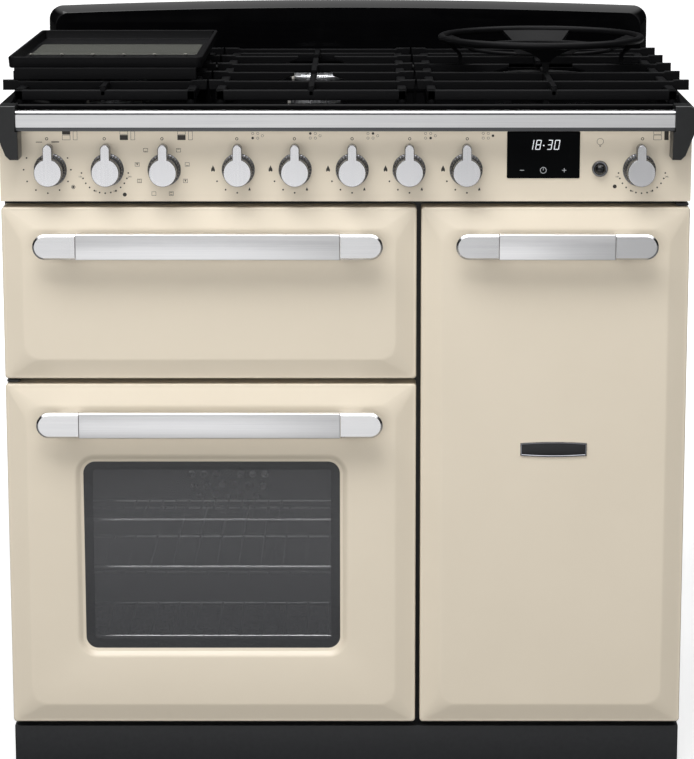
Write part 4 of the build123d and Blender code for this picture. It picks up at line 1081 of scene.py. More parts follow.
@dataclass
class TowelRail:
    """Brushed rail with a bright slanted top edge, held by two black brackets."""

    half: float = 420.4
    front: float = -38.0
    depth: float = 16.0
    low: float = 874.5
    height: float = 25.6
    chamfer: float = 1.8
    # Heights of the two painted shade strips: the shadow line below the top edge and the shade under the
    # rail.
    shade_line: float = 2.4
    shade_foot: float = 5.0
    side: float = HALF_W
    top: float = 907.0
    drop: float = 838.0

    def profile(self, inset: float) -> np.ndarray:
        """Five-sided section with a slanted front top edge, drawn in by an inset.

        Args:
            inset: How far the outline is drawn in.

        Returns:
            Points of the outline.
        """
        f, b = self.front + inset, self.front + self.depth - inset
        low, high = self.low + self.shade_foot + inset, self.low + self.height - inset
        c = self.chamfer - inset * 0.4
        return np.array([[f, low], [b, low], [b, high], [f + c, high], [f, high - c]])

    def bracket(self, side: int) -> Surface:
        """Bracket: a block over the rail's end that tapers to a chin below it.

        Args:
            side: -1 for the left end, 1 for the right one.

        Returns:
            A closed surface.
        """
        s, end, low = self.side, self.half, self.low
        inner = [[end, self.top], [end, low - 0.5], [end - 3, low - 0.5], [end - 3, self.drop]]
        chin = [[s - 17.6, self.drop], [s - 12, low - 31]]
        outer = [[s, low], [s, self.top - 4], [s - 6, self.top]]
        corners = np.array(inner + chin + outer)
        middle = corners.mean(axis=0)

        def outline(inset: float) -> np.ndarray:
            """Outline drawn in towards its middle by about the inset.

            Args:
                inset: How far the outline is drawn in.

            Returns:
                Points of the outline.
            """
            reach = corners - middle
            size = np.linalg.norm(reach, axis=1, keepdims=True)
            moved = corners - reach / size * inset
            return moved * np.array([side, 1])

        return pillow(outline, self.front - 3.0, 0.0, 1.4, View.FRONT)

    def build(self, shop: Workshop) -> None:
        """Make the rail, its brackets, and two dark steel strips along it that are painted shade: a shadow
        line below the top edge and the shade under the rail.

        Args:
            shop: The workshop.
        """
        rail = pillow(self.profile, -self.half, self.half, 0.4, View.SIDE, 3)
        shop.make("towel_rail_bar", rail, "brushed_steel", FLOOR_BODY, ["towel_rail"], crease=20.0)
        across = (-self.half, self.half)
        # The two dark strips are painted shade: a shadow line just below the slanted top edge, and the shade
        # under the rail.
        ledge = self.low + self.height - self.chamfer - 0.2
        line = soft_box(across, (self.front - 0.03, self.front + 1.0), (ledge - self.shade_line, ledge), 0.02)
        foot = soft_box(across, (self.front + 1.0, self.front + self.depth),
                        (self.low, self.low + self.shade_foot + 0.4), 0.6)
        shop.make("towel_rail_painted_shade_lines", joined([line, foot]), "painted_shade_steel", FLOOR_BODY)
        brackets = joined([self.bracket(-1), self.bracket(1)])
        shop.make("towel_rail_ends", brackets, "bracket_black", FLOOR_BODY, ["rail_brackets"],
                  30.0)


@dataclass
class Hob:
    """Gloss tray, rear upstand and five burners."""

    half: float = HALF_W
    depth: float = 572.0
    low: float = 895.0
    top: float = 905.0
    bed: float = 898.0
    rim: float = 16.0
    rim_r: float = 3.0
    corner_r: float = 5.0
    upstand_half: float = 440.0
    upstand_t: float = 18.0
    upstand_side: float = 987.0
    upstand_arch: float = 8.0
    upstand_r: float = 20.0
    upstand_edge: float = 10.0
    burner_r: float = 36.0
    wok_r: float = 62.0
    spark_gap: float = 10.0
    spark_angles: Span = (45.0, 225.0)

    def burners(self) -> list[Triple]:
        """Place and radius of each burner.

        Returns:
            Place along x, depth and radius of each.
        """
        columns = (LEFT_BURNER_X, CENTRE_BURNER_X)
        small = [(x, d, self.burner_r) for x in columns for d in (NEAR_BURNER_D, FAR_BURNER_D)]
        return small + [(WOK_X, WOK_D, self.wok_r)]

    def tray(self) -> Surface:
        """Tray pressed from one sheet: a rounded rim that falls to a flat bed.

        Returns:
            A closed surface.
        """
        outline = rect_outline((-self.half, self.half, 0.0, self.depth), self.corner_r, 6)
        r, rim, top, bed = self.rim_r, self.rim, self.top, self.bed
        rise, fall = np.linspace(0.3, math.pi / 2, 5), np.linspace(0, 1.2, 5)
        rows = [(0.8, self.low), (0.0, self.low + 0.8), (0.0, top - r)]
        rows += [(r - r * math.cos(t), top - r + r * math.sin(t)) for t in rise]
        rows += [(rim - r + r * math.sin(t), top - r + r * math.cos(t)) for t in fall]
        rows += [(rim + 1.0, bed + 1.6), (rim + 2.2, bed + 0.4), (rim + 4.0, bed)]
        return carried(outline, rows, View.PLAN)

    def upstand_line(self, inset: float) -> np.ndarray:
        """Shoulders as quarter circles and a top that arches as 1 - (x / reach) squared, at an inset.

        Args:
            inset: How far the outline is drawn in.

        Returns:
            Points of the outline.
        """
        r = self.upstand_r
        half, side = self.upstand_half - inset, self.upstand_side - inset
        turn = np.linspace(0, math.pi / 2, 12)
        corner = np.stack([half - r + r * np.cos(turn), side - r + r * np.sin(turn)], axis=-1)
        reach = half - r
        x = np.linspace(reach, -reach, 33)[1:-1]
        top = np.stack([x, side + self.upstand_arch * (1 - (x / reach) ** 2)], axis=-1)
        other = corner[::-1] * np.array([-1, 1])
        base = [[-half, self.low], [half, self.low]]
        return np.concatenate([corner, top, other, base])

    def upstand(self) -> Surface:
        """Arched plate with round shoulders and a chamfered front edge.

        Returns:
            A closed surface.
        """
        front, back, e = self.depth, self.depth + self.upstand_t, self.upstand_edge
        side = [(1.0, back), (0.0, back - 1.0), (0.0, front + e)]
        chamfer = [(0.3, front + e - 0.6), (e - 0.6, front + 0.3), (e, front)]
        return carried(self.upstand_line, side + chamfer, View.FRONT)

    def upstand_face(self) -> Surface:
        """Thin plate on the front of the upstand, within its chamfer.

        Returns:
            A closed surface.
        """
        inset = self.upstand_edge + 0.1
        rows = [(inset, self.depth + 0.2), (inset, self.depth - 0.08)]
        return carried(self.upstand_line, rows, View.FRONT)

    def crown(self, x: float, d: float, r: float) -> Surface:
        """Burner crown: a turned body on a flange, with a notched rim.

        Args:
            x: Place of the burner along x.
            d: Its depth.
            r: Its radius.

        Returns:
            A closed surface.
        """
        flange = [(r * 0.5, 0.0, 0.0), (r + 5, 0.0, 0.0), (r + 5, 2.2, 0.0), (r + 3.6, 3.2, 0.0)]
        neck = [(r, 3.4, 0.0), (r - 0.6, 4.4, 0.0)]
        rim = [(r - 0.6, 4.6, 1.6), (r - 0.2, 8.4, 1.6), (r - 1.0, 9.0, 0.4), (r * 0.5, 9.0, 0.0)]
        return fluted(flange + neck + rim, int(r * 0.6), 3.0, x, d, self.bed, View.PLAN)

    def cap(self, x: float, d: float, r: float) -> Surface:
        """Enamelled burner cap: a domed lid with a soft edge and a shallow ring pressed into its top.

        Args:
            x: Place of the burner along x.
            d: Its depth.
            r: Its radius.

        Returns:
            A closed surface.
        """
        edge = [(r - 3, 9.0), (r + 1, 9.0), (r + 1, 12.0), (r + 0.4, 13.4), (r - 1.0, 14.2)]
        lid = [(r * 0.72, 14.5), (r * 0.68, 14.2), (r * 0.62, 14.2), (r * 0.58, 14.5), (r * 0.2, 14.5)]
        return turned(edge + lid, x, d, self.bed, View.PLAN)

    def neck(self, x: float, d: float, r: float) -> Surface:
        """Pipe under a burner crown."""
        return turned([(r - 6, -20.0), (r - 6, 1.0)], x, d, self.bed, View.PLAN)

    def spark(self, x: float, d: float, r: float, angle: float) -> tuple[Surface, Surface]:
        """Ceramic sleeve and metal tip of an igniter beside a crown.

        Args:
            x: Place of the burner along x.
            d: Its depth.
            r: Its radius.
            angle: Side of the crown, in degrees.

        Returns:
            The sleeve and the tip.
        """
        px = x + (r + self.spark_gap) * math.cos(math.radians(angle))
        pd = d + (r + self.spark_gap) * math.sin(math.radians(angle))
        sleeve = [(2.0, 0.0), (2.0, 6.5), (1.5, 7.2), (1.0, 7.2)]
        tip = [(0.9, 6.0), (0.9, 10.2), (0.5, 11.0)]
        return turned(sleeve, px, pd, self.bed, View.PLAN, 16), turned(tip, px, pd, self.bed, View.PLAN, 12)

    def build(self, shop: Workshop) -> None:
        """Make the tray, the upstand and the burners.

        Args:
            shop: The workshop.
        """
        shop.make("hob_pressing", self.tray(), "black_enamel", FLOOR_BODY, ["hob_tray"], crease=50.0)
        shop.make("hob_upstand", self.upstand(), "edge_enamel", FLOOR_BODY, ["rear_upstand"],
                  25.0)
        shop.make("upstand_face", self.upstand_face(), "black_enamel", FLOOR_BODY, crease=25.0)
        burners = self.burners()
        crowns = [self.crown(*burner) for burner in burners] + [self.neck(*burner) for burner in burners]
        shop.make("burner_crowns", joined(crowns), "aluminium", FLOOR_BODY, ["burner_bodies"])
        caps = [self.cap(*burner) for burner in burners]
        shop.make("burner_lids", joined(caps), "cap_enamel", FLOOR_BODY, ["burner_caps"])
        sparks = [self.spark(*burner, angle) for burner in burners for angle in self.spark_angles]
        sleeves, tips = zip(*sparks)
        shop.make("igniter_sleeves", joined(sleeves), "ceramic", FLOOR_BODY)
        shop.make("igniter_tips", joined(tips), "chrome", FLOOR_BODY)


@dataclass
class PanSupport:
    """Cast pan support: a low frame on feet, five cross bars, a long bar and fingers at each burner."""

    side: str
    x0: float
    x1: float
    in0: float
    in1: float
    burners: tuple[Triple, ...]
    top: float = 928.0
    bar_h: float = 13.5
    bar_w: float = 8.0
    bars: int = 5
    first: float = 88.0
    pitch: float = 116.0
    d0: float = 22.0
    d1: float = 554.0
    edge: float = 12.0
    frame_z: Span = (907.5, 921.0)
    bed: float = 898.0
    soft: float = 1.8
    lug: Span = (20.0, 1.6)
    finger_rise: float = 7.0
    finger_run: float = 22.0

    def bar(self, a0: float, a1: float, at: float, view: View, fingers: tuple[bool, bool]) -> Surface:
        """Upright bar whose finger ends rise to a point and whose other ends carry a low raised lug.

        Args:
            a0: Start of the bar.
            a1: End of the bar.
            at: Place of its middle across the run.
            view: FRONT for a cross bar, SIDE for a long one.
            fingers: Whether the start and the end are fingers.

        Returns:
            A closed surface.
        """
        low = self.top - self.bar_h
        length, height = self.lug
        top = self.top - height
        run = min(self.finger_run, (a1 - a0) / 3)

        def tip(a: float, way: int, finger: bool) -> list[Span]:
            """Corners of one end from its foot up: a finger, a plain end or a lug.

            Args:
                a: Where the bar ends.
                way: 1 at its end, -1 at its start.
                finger: Whether it ends in a finger.

            Returns:
                The corners.
            """
            foot = (a, low + (self.finger_rise if finger else 0.01))
            if finger or view is View.SIDE:
                return [foot, (a, top)]
            lug = a - way * length
            return [foot, (a, self.top), (lug, self.top), (lug - way * height, top)]

        corners = [(a0 + run, low), (a1 - run, low)] + tip(a1, 1, fingers[1]) + tip(a0, -1, fingers[0])[::-1]
        half = self.bar_w / 2
        return pillow(polygon_outline(corners), at - half, at + half, self.soft, view)

    def spans(self, low: float, high: float, stops: Sequence[Span]) -> list[tuple[Span, tuple[bool, bool]]]:
        """Stretches of a bar between burner openings, each with whether its ends are fingers.

        Args:
            low: Start of the bar.
            high: End of the bar.
            stops: Middle and reach of each opening.

        Returns:
            Start and end of each stretch, and whether each of the two is a finger.
        """
        out = []
        start, finger = low, False
        for centre, reach in sorted(stops):
            out.append(((start, centre - reach), (finger, True)))
            start, finger = centre + reach, True
        out.append(((start, high), (finger, False)))
        return out

    def frame(self) -> list[Surface]:
        """Frame below the bars and its four feet.

        Returns:
            The members of the frame.
        """
        parts = []
        e, z = self.edge, self.frame_z
        leg = [(4.6, 0.0), (5.2, 0.4), (6.0, 4.0), (6.0, z[0] - self.bed + 3.0)]
        for d in (self.d0, self.d1 - e):
            parts.append(soft_box((self.in0, self.in1), (d, d + e), z, self.soft))
        for x in (self.in0, self.in1 - e):
            parts.append(soft_box((x, x + e), (self.d0, self.d1), z, self.soft))
            for d in (self.d0 + e / 2, self.d1 - e / 2):
                parts.append(turned(leg, x + e / 2, d, self.bed, View.PLAN, 20))
        return parts

    def surface(self) -> Surface:
        """All the members of the support.

        Returns:
            The joined members.
        """
        parts = self.frame()
        for i in range(self.bars):
            d = self.first + i * self.pitch
            stops = [(bx, reach) for bx, bd, reach in self.burners if abs(bd - d) < 1]
            for ends, fingers in self.spans(self.x0, self.x1, stops):
                parts.append(self.bar(*ends, d, View.FRONT, fingers))
        bx = self.burners[0][0]
        stops = [(bd, reach) for _, bd, reach in self.burners]
        for ends, fingers in self.spans(self.d0, self.d1, stops):
            parts.append(self.bar(*ends, bx, View.SIDE, fingers))
        return joined(parts)

    def build(self, shop: Workshop) -> None:
        """Make the support."""
        node = f"pan_support_{self.side}"
        shop.make(f"{node}_casting", self.surface(), "cast_iron", node, [node])


@dataclass
class Griddle:
    """Griddle with a raised rim: a flat plate behind six ribs and a well at the back, on two cross feet."""

    x: Span = (-443.0, -188.0)
    d: Span = (84.0, 502.0)
    low: float = 943.0
    high: float = 958.0
    seat: float = 928.0
    wall: float = 5.0
    floor: float = 2.5
    corner_r: float = 9.0
    plate: Rect = (-431.0, -205.0, 248.0, 402.0)
    plate_r: float = 5.0
    ribs: int = 6
    rib_first: float = -430.0
    rib_pitch: float = 42.0
    rib_half: float = 2.5
    rib_top: float = 4.5
    feet: Span = (88.0, 436.0)
    foot_half: float = 4.0
    foot_inset: float = 8.0

    def pan(self) -> list[Surface]:
        """Tray with its rim, and the two cross feet under it.

        Returns:
            The tray and the feet.
        """
        outline = rect_outline((*self.x, *self.d), self.corner_r, 8)
        low, high, w = self.low, self.high, self.wall
        base = low + self.floor
        outside = [(4.0, low), (2.0, low + 0.6), (1.0, low + 2.0), (0.0, high - 1.6), (0.4, high - 0.5)]
        rim = [(1.4, high), (w - 1.4, high), (w - 0.5, high - 0.4), (w, high - 1.6)]
        well = [(w + 0.5, base + 1.0), (w + 1.2, base)]
        parts = [carried(outline, outside + rim + well, View.PLAN)]
        across = (self.x[0] + self.foot_inset, self.x[1] - self.foot_inset)
        for d in self.feet:
            depth = (d - self.foot_half, d + self.foot_half)
            parts.append(soft_box(across, depth, (self.seat, low + 1), 1.5))
        return parts

    def build(self, shop: Workshop) -> None:
        """Make the rim, ribs and feet, the lighter plate, and pale caps on the ribs' ends that are painted
        glints.

        Args:
            shop: The workshop.
        """
        parts = self.pan()
        base = self.low + self.floor
        film = [(0.0, base - 1.0), (0.0, base + 0.4), (0.3, base + 0.6)]
        plate = carried(rect_outline(self.plate, self.plate_r, 6), film, View.PLAN)
        near, far, top = self.d[0] + self.wall + 2, self.plate[2], self.low + self.rib_top
        ends = []
        for i in range(self.ribs):
            x = self.rib_first + self.rib_pitch * i
            width = (x - self.rib_half, x + self.rib_half)
            parts.append(soft_box(width, (near, far - 8), (base - 0.5, top), 1.0))
            # Pale caps on the ribs' rear ends are painted glints.
            ends.append(soft_box(width, (far - 14, far - 1), (base - 0.5, top + 0.4), 1.2))
        shop.make("griddle_rim", joined(parts), "cast_iron", "griddle", ["griddle"])
        shop.make("griddle_plate", plate, "pale_plate_iron", "griddle")
        shop.make("griddle_rib_glints", joined(ends), "painted_glint_iron", "griddle")


@dataclass
class WokRing:
    """Cast wok ring: a rolled rim and a lower ring joined by four legs that narrow towards the bars."""

    x: float = WOK_X
    d: float = WOK_D
    top: float = 968.0
    seat: float = 926.4
    outer: float = 143.0
    inner: float = 96.0
    foot_r: float = 112.0
    spread: Span = (21.0, 2.1)
    thick: float = 5.0
    lean: float = 1.6
    legs: int = 4
    ring_steps: int = 96

    def leg(self, angle: float) -> Surface:
        """Leg from rim to bar: its half angle is a + (b - a)(1 - (1 - h)^3) at height share h.

        Args:
            angle: Where the leg stands, in degrees.

        Returns:
            A closed surface.
        """
        rows = []
        wide, narrow = self.spread
        start_r, start_z = self.outer - 7.0, self.top - 6.0
        for share in np.linspace(0.0, 1.0, 12):
            half = wide + (narrow - wide) * (1 - (1 - share) ** 3)
            z = start_z + (self.seat - start_z) * share
            r = start_r + (self.foot_r - start_r) * min(1.0, share * self.lean)
            turn = np.radians(np.linspace(angle - half, angle + half, 13))
            ring = np.stack([np.cos(turn), np.sin(turn)], axis=-1)
            flat = np.concatenate([ring * (r + self.thick / 2), ring[::-1] * (r - self.thick / 2)])
            rows.append(np.concatenate([flat, np.full((len(flat), 1), z)], axis=1))
        return grid(np.stack(rows)).outward().moved(self.x, self.d, 0.0)

    def web(self, angle: float) -> Surface:
        """Piece of the cone between the rings: r and z run from ring to ring as the angle sweeps.

        Args:
            angle: Middle of the web, in degrees.

        Returns:
            A closed surface.
        """
        half = self.spread[0]
        turn = np.radians(np.linspace(angle - half, angle + half, 13))
        below = [(self.outer - 10, self.top - 9.5), (self.inner + 2, self.top - 21)]
        above = [(self.inner + 2, self.top - 17), (self.outer - 12, self.top - 5.5)]
        r, z = np.array(below + above).T
        level = np.tile(z, (len(turn), 1))
        rows = np.stack([np.outer(np.cos(turn), r), np.outer(np.sin(turn), r), level], axis=-1)
        return grid(rows).outward().moved(self.x, self.d, 0.0)

    def build(self, shop: Workshop) -> None:
        """Make the rings, the webs and the legs.

        Args:
            shop: The workshop.
        """
        turn = np.arange(16) * 2 * math.pi / 16
        rim = [(self.outer - 5.5 + 5.5 * math.cos(t), self.top - 5 + 5 * math.sin(t)) for t in turn]
        lip = [(self.inner + 3 + 3 * math.cos(t), self.top - 19.5 + 2.5 * math.sin(t)) for t in turn]
        parts = []
        for section in (rim, lip):
            parts.append(ring_loop(section, self.x, self.d, 0.0, View.PLAN, self.ring_steps))
        for i in range(self.legs):
            angle = 360 / self.legs * i
            parts += [self.web(angle), self.leg(angle)]
        shop.make("wok_ring_casting", joined(parts), "cast_iron", "wok_ring", ["wok_ring"])


@dataclass
class OvenWindow:
    """Two panes of the oven door and the printed border on the outer one."""

    window: Rect = WINDOW
    lap: float = 10.0
    radius: float = 16.0
    glass_t: float = 4.0
    outer_d: float = -2.0
    inner_d: float = 30.0
    border: float = 12.0
    print_t: float = 0.15

    def pane(self, d: float) -> Surface:
        """Pane with rounded corners and ground edges.

        Args:
            d: Depth of the pane's front.

        Returns:
            A closed surface.
        """
        x0, x1, z0, z1 = self.window
        rect = (x0 - self.lap, x1 + self.lap, z0 - self.lap, z1 + self.lap)
        outline = rect_outline(rect, self.radius + self.lap, 10)
        return pillow(outline, d, d + self.glass_t, 0.5, View.FRONT, 3)

    def band(self) -> Surface:
        """Flat printed band round the edge of the outer pane, on its back.

        Returns:
            A closed surface.
        """
        outline = rect_outline(self.window, self.radius, 10)
        wide, narrow = outline(-self.lap + 1), outline(self.border)
        front = self.outer_d + self.glass_t
        back = front + self.print_t
        rows = np.stack([wide, narrow, narrow, wide, wide])
        level = np.array([front, front, back, back, front])
        return grid(in_view(rows, level, View.FRONT), caps=(False, False)).outward()

    def build(self, shop: Workshop) -> None:
        """Make the panes and the band.

        Args:
            shop: The workshop.
        """
        shop.make("window_outer_pane", self.pane(self.outer_d), "glass", "oven_door", ["oven_door_glass"])
        shop.make("window_inner_pane", self.pane(self.inner_d), "inner_glass", "oven_door")
        shop.make("window_band", self.band(), "print_black", "oven_door")


@dataclass
class Badge:
    """Blank name plate: a chrome frame with gently bowed long sides round a black inlay."""

    x: Span = (228.8, 315.9)
    z: Span = (442.4, 462.6)
    bow: float = 1.6
    face: float = -9.0
    height: float = 2.4
    frame: float = 2.2

    def outline(self, inset: float) -> np.ndarray:
        """Plate outline: long sides that bow as 1 - u squared and short sides that are straight.

        Args:
            inset: How far the outline is drawn in.

        Returns:
            Points of the outline.
        """
        half_w = (self.x[1] - self.x[0]) / 2 - inset
        half_h = (self.z[1] - self.z[0]) / 2 - inset - self.bow
        u = np.linspace(1, -1, 25)
        top = np.stack([u * half_w, half_h + self.bow * (1 - u ** 2)], axis=-1)
        middle = np.array([sum(self.x) / 2, sum(self.z) / 2])
        return np.concatenate([top, -top]) + middle

    def build(self, shop: Workshop) -> None:
        """Make the frame and the inlay.

        Args:
            shop: The workshop.
        """
        f, face, front = self.frame, self.face, self.face - self.height
        outside = [(0.0, face), (0.0, front + 0.8), (0.3, front + 0.2), (0.9, front)]
        inside = [(f - 0.5, front), (f, front + 0.5), (f + 0.1, front + 1.1)]
        frame = carried(self.outline, outside + inside, View.FRONT)
        shop.make("badge_frame", frame, "bezel_chrome", "tall_door")
        inlay = [(f + 0.05, front + 1.6), (f + 0.05, front + 0.9), (f + 0.5, front + 0.75)]
        shop.make("badge_inlay", carried(self.outline, inlay, View.FRONT), "black_plastic", "tall_door")


@dataclass
class Marks:
    """Printed marks on the control panel and the lit figures of the clock."""

    d: float = 0.0
    glass_d: float = -1.5
    lift: float = 0.07
    line: float = 0.45
    eye_x: float = 25.8
    stretch: float = 1.0096
    off_z: float = 860.6
    off_ring: Span = (2.0, 0.8)
    plan: tuple[Span, ...] = ((20.5, 861.5), (20.5, 867.5), (27.0, 867.5), (27.0, 861.5), (33.0, 864.5))
    plan_r: float = 1.7
    zone_z: Span = (859.0, 870.5)
    scale: tuple[str, ...] = ("240", "180", "140", "100")
    scale_dots: int = 13
    scale_r: float = 30.5
    scale_arc: Span = (98.0, 262.0)
    number_arc: Span = (106.0, 254.0)
    number_h: float = 2.2
    setting_angles: tuple[float, ...] = (40.0, 78.0, 116.0, 160.0, 200.0, 244.0, 282.0, 320.0)
    setting_r: float = 33.0
    grill_arc: Span = (60.0, 300.0)
    grill_dots: int = 9
    grill_full: Span = (124.0, 40.0)
    gas_r: float = 30.0
    gas_angles: Triple = (240.0, 210.0, 180.0)
    gas_low: float = 148.0
    bulb_z: float = 857.0
    shown: str = "1830"
    shown_x: tuple[float, ...] = (234.5, 244.0, 258.5, 268.0)
    shown_z: float = 846.6
    digit: Span = (6.6, 12.8)
    point_x: float = 255.2
    minus_x: float = 227.5
    dial_x: float = 255.0
    plus_x: float = 282.0
    sign_z: float = 820.0

    def spread(self, x: float) -> float:
        """Place of a knob's marks: a little farther from the camera's own place than the knob."""
        return self.eye_x + (x - self.eye_x) * self.stretch

    def flat(self, outline: Outline, d: float) -> Surface:
        """Thin film of ink with the shape of an outline."""
        return carried(outline, [(0.0, d), (0.0, d - self.lift)], View.FRONT)

    def dot(self, x: float, z: float, r: float) -> Surface:
        """Round dot."""
        return self.flat(circle_outline(x, z, r, 14), self.d)

    def ring(self, x: float, z: float, r: float, w: float) -> Surface:
        """Thin ring."""
        section = [(r, 0.0), (r - w, 0.0), (r - w, -self.lift), (r, -self.lift)]
        return ring_loop(section, x, self.d, z, View.FRONT, 24)

    def block(self, rect: Rect, on_glass: bool = False) -> Surface:
        """Filled rectangle on the panel or on the clock's glass.

        Args:
            rect: The rectangle.
            on_glass: Whether it lies on the glass.

        Returns:
            A closed surface.
        """
        x0, x1, z0, z1 = rect
        outline = polygon_outline([(x0, z0), (x1, z0), (x1, z1), (x0, z1)])
        return self.flat(outline, self.glass_d if on_glass else self.d)

    def box(self, rect: Rect) -> list[Surface]:
        """Rectangle drawn as four thin lines.

        Args:
            rect: The rectangle.

        Returns:
            The four lines.
        """
        x0, x1, z0, z1 = rect
        w = self.line
        sides = [(x0, x1, z0, z0 + w), (x0, x1, z1 - w, z1), (x0, x0 + w, z0, z1), (x1 - w, x1, z0, z1)]
        return [self.block(side) for side in sides]

    def flame(self, x: float, z: float, size: float) -> Surface:
        """Flame: a leaf, |u| = w sin(pi s^0.7) (1 - s / 3) up its height s, with a notch in its foot.

        Args:
            x: Middle along x.
            z: Middle along z.
            size: Height of the flame.

        Returns:
            A closed surface.
        """
        s = np.linspace(0.12, 1.0, 12)
        half = 0.3 * size * np.sin(math.pi * s ** 0.7) * (1 - s / 3)
        right = np.stack([half, (s - 0.5) * size], axis=-1)
        left = right[-2::-1] * np.array([-1, 1])
        notch = np.array([[0.0, -0.24 * size]])
        points = np.concatenate([right, left, notch]) + np.array([x, z])
        return self.flat(lambda inset: points, self.d)

    def figure(self, text: str, height: float, x: float, z: float) -> Surface:
        """Small printed number.

        Args:
            text: The number.
            height: About the height of its figures.
            x: Middle along x.
            z: Middle along z.

        Returns:
            A closed surface.
        """
        curve = bpy.data.curves.new("figure", "FONT")
        curve.body = text
        curve.size = height * 1.4
        curve.align_x = "CENTER"
        curve.align_y = "CENTER"
        curve.extrude = self.lift / 2
        curve.resolution_u = 2
        source = in_scene("figure", curve)
        bpy.context.view_layer.update()
        mesh = bpy.data.meshes.new_from_object(source.evaluated_get(bpy.context.evaluated_depsgraph_get()))
        points = np.empty(len(mesh.vertices) * 3)
        mesh.vertices.foreach_get("co", points)
        across, up, out = points.reshape(-1, 3).T
        faces = [list(face.vertices) for face in mesh.polygons]
        bpy.data.objects.remove(source)
        bpy.data.meshes.remove(mesh)
        placed = np.stack([across + x, self.d - self.lift / 2 - out, up + z], axis=-1)
        return Surface(placed, faces).outward()

    def about(self, x: float, angle: float, r: float) -> Span:
        """Point beside a knob at an angle, counted clockwise from the top."""
        return x + r * math.sin(math.radians(angle)), KNOB_Z + r * math.cos(math.radians(angle))

    def head(self, x: float, zone_x: float, filled: int) -> list[Surface]:
        """Marks above an oven control: the off ring and a plan of the three compartments, one of them filled.

        Args:
            x: Place of the control.
            zone_x: How far to the right the plan starts.
            filled: Which compartment is filled.

        Returns:
            The marks.
        """
        z0, z1 = self.zone_z
        left, right = x + zone_x, x + zone_x + 14.0
        grill, main = (left, left + 10.5, z1 - 4.4, z1), (left, left + 10.5, z0, z1 - 5.0)
        tall = (right, right + 5.5, z0, z1)
        out = [self.ring(x, self.off_z, *self.off_ring)]
        for i, rect in enumerate((grill, main, tall)):
            out += [self.block(rect)] if i == filled else self.box(rect)
        return out

    def gas(self, x: float, lit: int) -> list[Surface]:
        """Marks of a gas tap: burner plan, off ring, large and small flame and the dots between them.

        Args:
            x: Place of the tap.
            lit: Which burner of the plan is filled.

        Returns:
            The marks.
        """
        out = [self.ring(x, self.off_z, *self.off_ring)]
        r = self.plan_r
        for i, (dx, z) in enumerate(self.plan):
            out.append(self.dot(x + dx, z, r) if i == lit else self.ring(x + dx, z, r, 0.4))
        out.append(self.flame(x - 31.0, KNOB_Z + 1.0, 9.5))
        out += [self.dot(*self.about(x, angle, self.gas_r), 1.15) for angle in self.gas_angles]
        out.append(self.flame(*self.about(x, self.gas_low, self.gas_r), 5.2))
        return out

    def oven(self, x: float, zone: int, zone_x: float = 20.0, fill: float = 142.0) -> list[Surface]:
        """Marks of a thermostat: its head, an arc of dots, a few numbers and a larger dot.

        Args:
            x: Place of the thermostat.
            zone: Which compartment it heats.
            zone_x: How far to the right the plan starts.
            fill: Angle of the larger dot.

        Returns:
            The marks.
        """
        out = self.head(x, zone_x, zone)
        angles = np.linspace(*self.scale_arc, self.scale_dots)
        out += [self.dot(*self.about(x, float(angle), self.scale_r), 1.1) for angle in angles]
        for text, angle in zip(self.scale, np.linspace(*self.number_arc, len(self.scale))):
            away = 29.0 + 4.5 * abs(math.sin(math.radians(angle)))
            out.append(self.figure(text, self.number_h, *self.about(x, float(angle), away)))
        out.append(self.dot(*self.about(x, fill, 41.0), 2.6))
        return out

    def functions(self, x: float) -> list[Surface]:
        """Marks of the oven selector: little boxes round the knob, each with its own strokes.

        Args:
            x: Place of the selector.

        Returns:
            The marks.
        """
        out = self.head(x, 20.0, 1)
        for i, angle in enumerate(self.setting_angles):
            px, pz = self.about(x, angle, self.setting_r)
            out += self.box((px - 2.9, px + 2.9, pz - 2.6, pz + 2.6))
            if i % 2:
                out.append(self.block((px - 1.6, px + 1.6, pz - 1.7, pz - 1.1)))
            if i % 3 != 1:
                out.append(self.block((px - 1.6, px + 1.6, pz + 1.0, pz + 1.6)))
            if i % 4 == 2:
                out.append(self.dot(px, pz, 0.9))
        return out

    def grill(self, x: float) -> list[Surface]:
        """Marks of the grill control.

        Args:
            x: Place of the grill control.

        Returns:
            The marks.
        """
        out = self.head(x, 20.0, 0)
        angles = np.linspace(*self.grill_arc, self.grill_dots)
        out += [self.dot(*self.about(x, float(angle), self.scale_r), 1.1) for angle in angles]
        out += [self.block((x - 14, x - 6, 855.8, 856.7)), self.block((x + 6, x + 16, 855.8, 857.2))]
        full = self.about(x, *self.grill_full)
        return out + [self.ring(*full, 2.6, 0.6), self.dot(*full, 1.5)]

    def bulb(self, x: float, z: float) -> list[Surface]:
        """Outline of a light bulb with two lines for its cap."""
        lines = [(x - 1.3, x + 1.3, z - 5.6, z - 5.0), (x - 0.9, x + 0.9, z - 6.8, z - 6.2)]
        return [self.ring(x, z, 4.4, self.line)] + [self.block(rect) for rect in lines]

